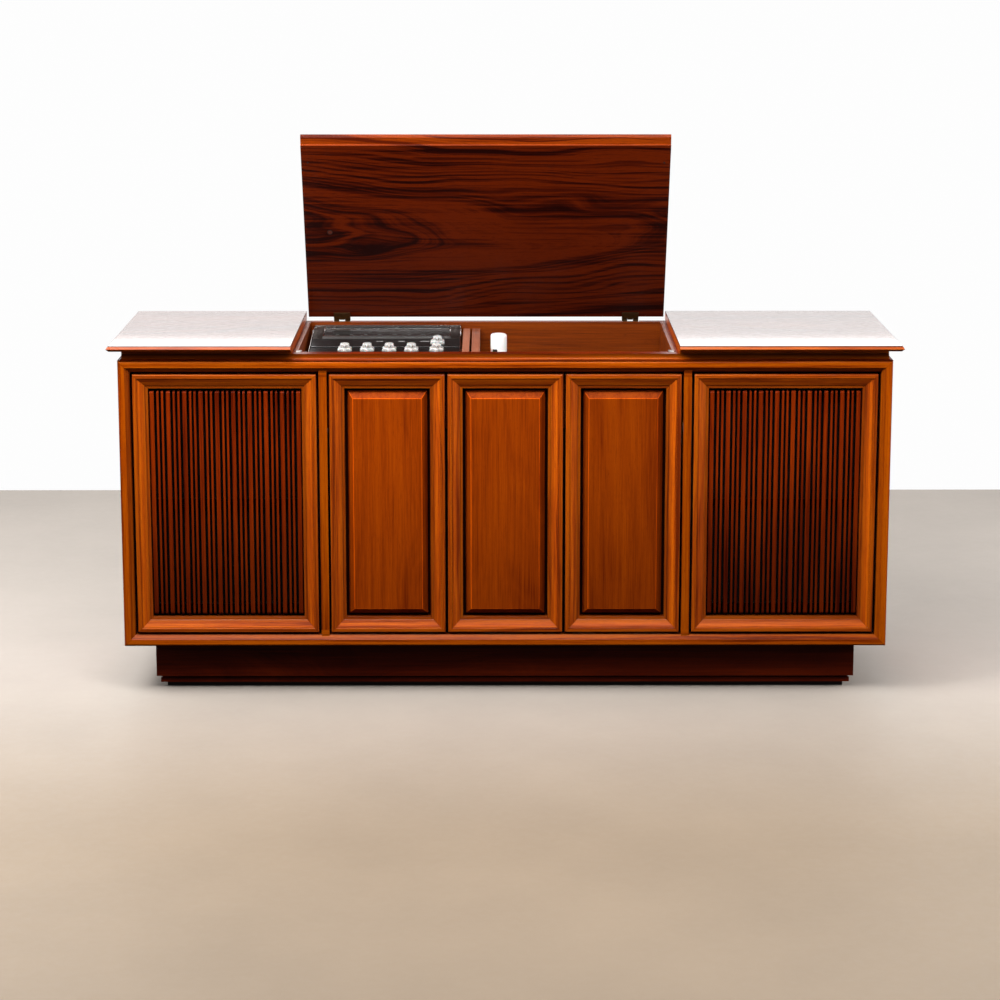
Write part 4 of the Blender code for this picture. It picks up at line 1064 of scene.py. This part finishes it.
def screw(bm, matrix, radius):
    """A low domed head."""
    profile = [(radius, 0.0001), (radius, 0.0007), (radius * 0.7, 0.0011), (radius * 0.3, 0.0012)]
    loops = [[matrix @ p for p in ring_points(r, z, 24, (0, 0))] for r, z in profile]
    skin(bm, loops)


def make_ledge_hardware():
    plated = metal("ledge_plate", (0.55, 0.50, 0.47), 0.30, tarnish=0.4, dull=(0.12, 0.07, 0.05))
    dark = painted("buffer_rubber", (0.012, 0.010, 0.010), 0.6)
    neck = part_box("top_neck_frame")
    top = neck[1].z
    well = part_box("well_box")
    for name, x0, x1 in (("left_ledge_plate", well[0].x + 0.0030, well[0].x + 0.0165),
                         ("right_ledge_plate", well[1].x - 0.0165, well[1].x - 0.0045)):
        front = neck[0].y + 0.034
        box_piece(name, (x0, x1), (front - 0.006, front + 0.018), (top + 0.0001, top + 0.0006), 0.0002,
                  plated)
        bm = bmesh.new()
        centre = ((x0 + x1) / 2, front + 0.006)
        turned(bm, [(0.0034, top + 0.0005), (0.0034, top + 0.0007), (0.0026, top + 0.0008)], centre, 24)
        piece(name + "_buffer", bm, dark, "cabinet")


def make_lid_marks():
    """A plug and two pin heads on the lid's underside, thin enough to clear the buffers when it is shut."""
    opened = closed_lid().inverted()
    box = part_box("left_fixed_top")
    front, back, under = box[0].y, box[0].y + 0.480, box[0].z + 0.0007
    low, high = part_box("lid")
    width = high.x - low.x
    rim = painted("plug_rim", (0.012, 0.0015, 0.0005), 0.6)
    core = painted("plug_core", (0.085, 0.012, 0.002), 0.55)
    marks = ((0.070, 0.514, 0.0062, core), (0.018, 0.135, 0.0024, rim), (0.983, 0.135, 0.0024, rim))
    for index, (u, v, radius, middle) in enumerate(marks):
        centre = (low.x + width * u, front + (back - front) * v)
        for name, profile, finish in (
                ("rim", [(radius, under), (radius, under - 0.00012), (radius * 0.72, under - 0.00012),
                         (radius * 0.72, under)], rim),
                ("core",
                 [(radius * 0.72, under), (radius * 0.72, under - 0.00008), (0.0001, under - 0.00010)],
                 middle)):
            bm = bmesh.new()
            turned(bm, profile, centre, 32, closed=name == "rim")
            bmesh.ops.transform(bm, matrix=opened, verts=bm.verts)
            piece(f"lid_plug_{name}_{index + 1}", bm, finish, "lid")


def make_rear_details():
    low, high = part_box("back_panel")
    steel = metal("screw_steel", (0.40, 0.38, 0.34), 0.35, tarnish=0.5)
    bm = bmesh.new()
    turn = Matrix.Rotation(math.radians(-90), 4, "X")
    xs = [low.x + 0.02 + (high.x - low.x - 0.04) * i / 8 for i in range(9)]
    zs = [low.z + 0.02 + (high.z - low.z - 0.04) * i / 3 for i in range(4)]
    places = [(x, z) for x in xs for z in (zs[0], zs[-1])] + [(x, z) for x in (xs[0],
                                                                               xs[-1]) for z in zs[1:-1]]
    for x, z in places:
        screw(bm, Matrix.Translation((x, high.y, z)) @ turn, 0.0042)
    piece("back_panel_screws", bm, steel, "cabinet")


# ---- Stage, lights and camera ----


def make_stage():
    """A pale floor, darker and warmer near the cabinet as painted shade and painted bounce light, and a white
    wall that shows only its front, so the cabinet's back can be seen.
    """
    graph = Graph("pale_floor")
    place = graph.position()
    broad = graph.noise(place, 1.3, 5, 0.65)
    fine = graph.noise(place, 45.0, 4, 0.7)
    tone = graph.vary(fine, 0.10, graph.remap(broad, 0.3, 0.7, 0.90, 1.05))
    y = graph.split(place)[1]
    # Painted shade and painted warm bounce light on the floor near the cabinet.
    colour = graph.mix(graph.remap(y, -1.2, 0.1, 0.0, 1.0, smooth=True), NEAR_FLOOR_PAINTED_SHADE_AND_BOUNCE, FAR_FLOOR)
    colour = graph.tint(colour, tone)
    graph.finish(Base_Color=colour, Roughness=graph.remap(fine, 0.3, 0.7, 0.5, 0.65), Specular_IOR_Level=0.3)
    floor = stage_plane("floor", [(-14, -14, 0), (14, -14, 0), (14, 14, 0), (-14, 14, 0)], graph.material)
    graph = Graph("white_wall")
    graph.finish(Base_Color=(0, 0, 0), Roughness=1.0, Emission_Color=(1, 1, 1), Emission_Strength=0.985,
                 Specular_IOR_Level=0.0)
    output = graph.tree.nodes["Material Output"]
    clear = graph.node("ShaderNodeBsdfTransparent").outputs[0]
    back = graph.node("ShaderNodeNewGeometry").outputs["Backfacing"]
    one_sided = graph.node("ShaderNodeMixShader", {0: back, 1: graph.shader.outputs[0], 2: clear})
    graph.tree.links.new(one_sided.outputs[0], output.inputs["Surface"])
    wall = stage_plane("backdrop", [(-9, WALL_Y, 0), (9, WALL_Y, 0), (9, WALL_Y, 5), (-9, WALL_Y, 5)],
                       graph.material)
    floor.visible_diffuse = False
    floor.visible_glossy = False


def stage_plane(name, corners, material):
    bm = bmesh.new()
    bm.faces.new([bm.verts.new(corner) for corner in corners])
    return piece(name, bm, material, None, smooth=0, recalc=False)


def area_light(name, place, target, size, power):
    data = bpy.data.lights.new(name, "AREA")
    data.shape = "RECTANGLE"
    data.size, data.size_y = size
    data.energy = power
    light = bpy.data.objects.new(name, data)
    light.location = place
    light.rotation_euler = (Vector(target) - Vector(place)).to_track_quat("-Z", "Y").to_euler()
    light.visible_camera = False
    bpy.context.scene.collection.objects.link(light)
    return light


def make_lights():
    world = bpy.data.worlds.new("studio")
    bpy.context.scene.world = world
    world.use_nodes = True
    tree = world.node_tree
    height = tree.nodes.new("ShaderNodeSeparateXYZ")
    tree.links.new(tree.nodes.new("ShaderNodeTexCoord").outputs["Generated"], height.inputs[0])
    sky = tree.nodes.new("ShaderNodeMapRange")
    for key, value in (("From Min", -0.15), ("From Max", 0.15), ("To Min", 0.03), ("To Max", 0.11)):
        sky.inputs[key].default_value = value
    tree.links.new(height.outputs[2], sky.inputs["Value"])
    background = tree.nodes["Background"]
    background.inputs["Color"].default_value = (1.0, 0.98, 0.96, 1.0)
    tree.links.new(sky.outputs["Result"], background.inputs["Strength"])
    area_light("left_key", (-1.80, -1.50, 2.50), (-0.35, 0, 0.45), (0.6, 0.6), 50)
    area_light("right_key", (1.85, -1.55, 2.50), (0.35, 0, 0.45), (0.6, 0.6), 8)
    area_light("overhead", (-0.9, -0.95, 2.60), (-0.3, -0.05, 0.6), (4.4, 0.8), 128)
    area_light("left_fill", (-3.55, -0.85, 1.7), (0.3, 0, 0.5), (2.6, 1.8), 32)
    area_light("right_fill", (3.55, -0.70, 1.7), (-0.3, 0, 0.5), (2.6, 1.8), 105)
    wash = area_light("wall_sheen", (0, WALL_Y - 0.05, 1.35), (0, 0, 1.0), (9.0, 1.7), 106)
    wash.visible_diffuse = False


def make_camera():
    data = bpy.data.cameras.new("camera")
    data.lens = 90.96
    data.sensor_width = 36.0
    data.shift_y = -0.1355
    camera = bpy.data.objects.new("camera", data)
    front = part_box("face_frame")[0].y
    camera.location = (-0.0279, front - 5.3133, 1.6892)
    camera.rotation_euler = (math.radians(90 - 10.187), 0, -0.0031)
    bpy.context.scene.collection.objects.link(camera)
    bpy.context.scene.camera = camera


WALL_Y = 1.76
# The floor's colour near the cabinet: painted shade and painted warm bounce light.
NEAR_FLOOR_PAINTED_SHADE_AND_BOUNCE = (0.266, 0.205, 0.146)
FAR_FLOOR = (0.400, 0.355, 0.315)

make_camera()
dress_woodwork()
dress_lid()
dress_hardware()
make_panel_details()
make_changer()
make_adapter()
make_cloth()
make_ledge_hardware()
make_lid_marks()
make_rear_details()
make_stage()
make_lights()
bpy.context.scene.view_settings.view_transform = "Standard"
bpy.context.scene.view_settings.look = "None"

bpy.context.view_layer.update()
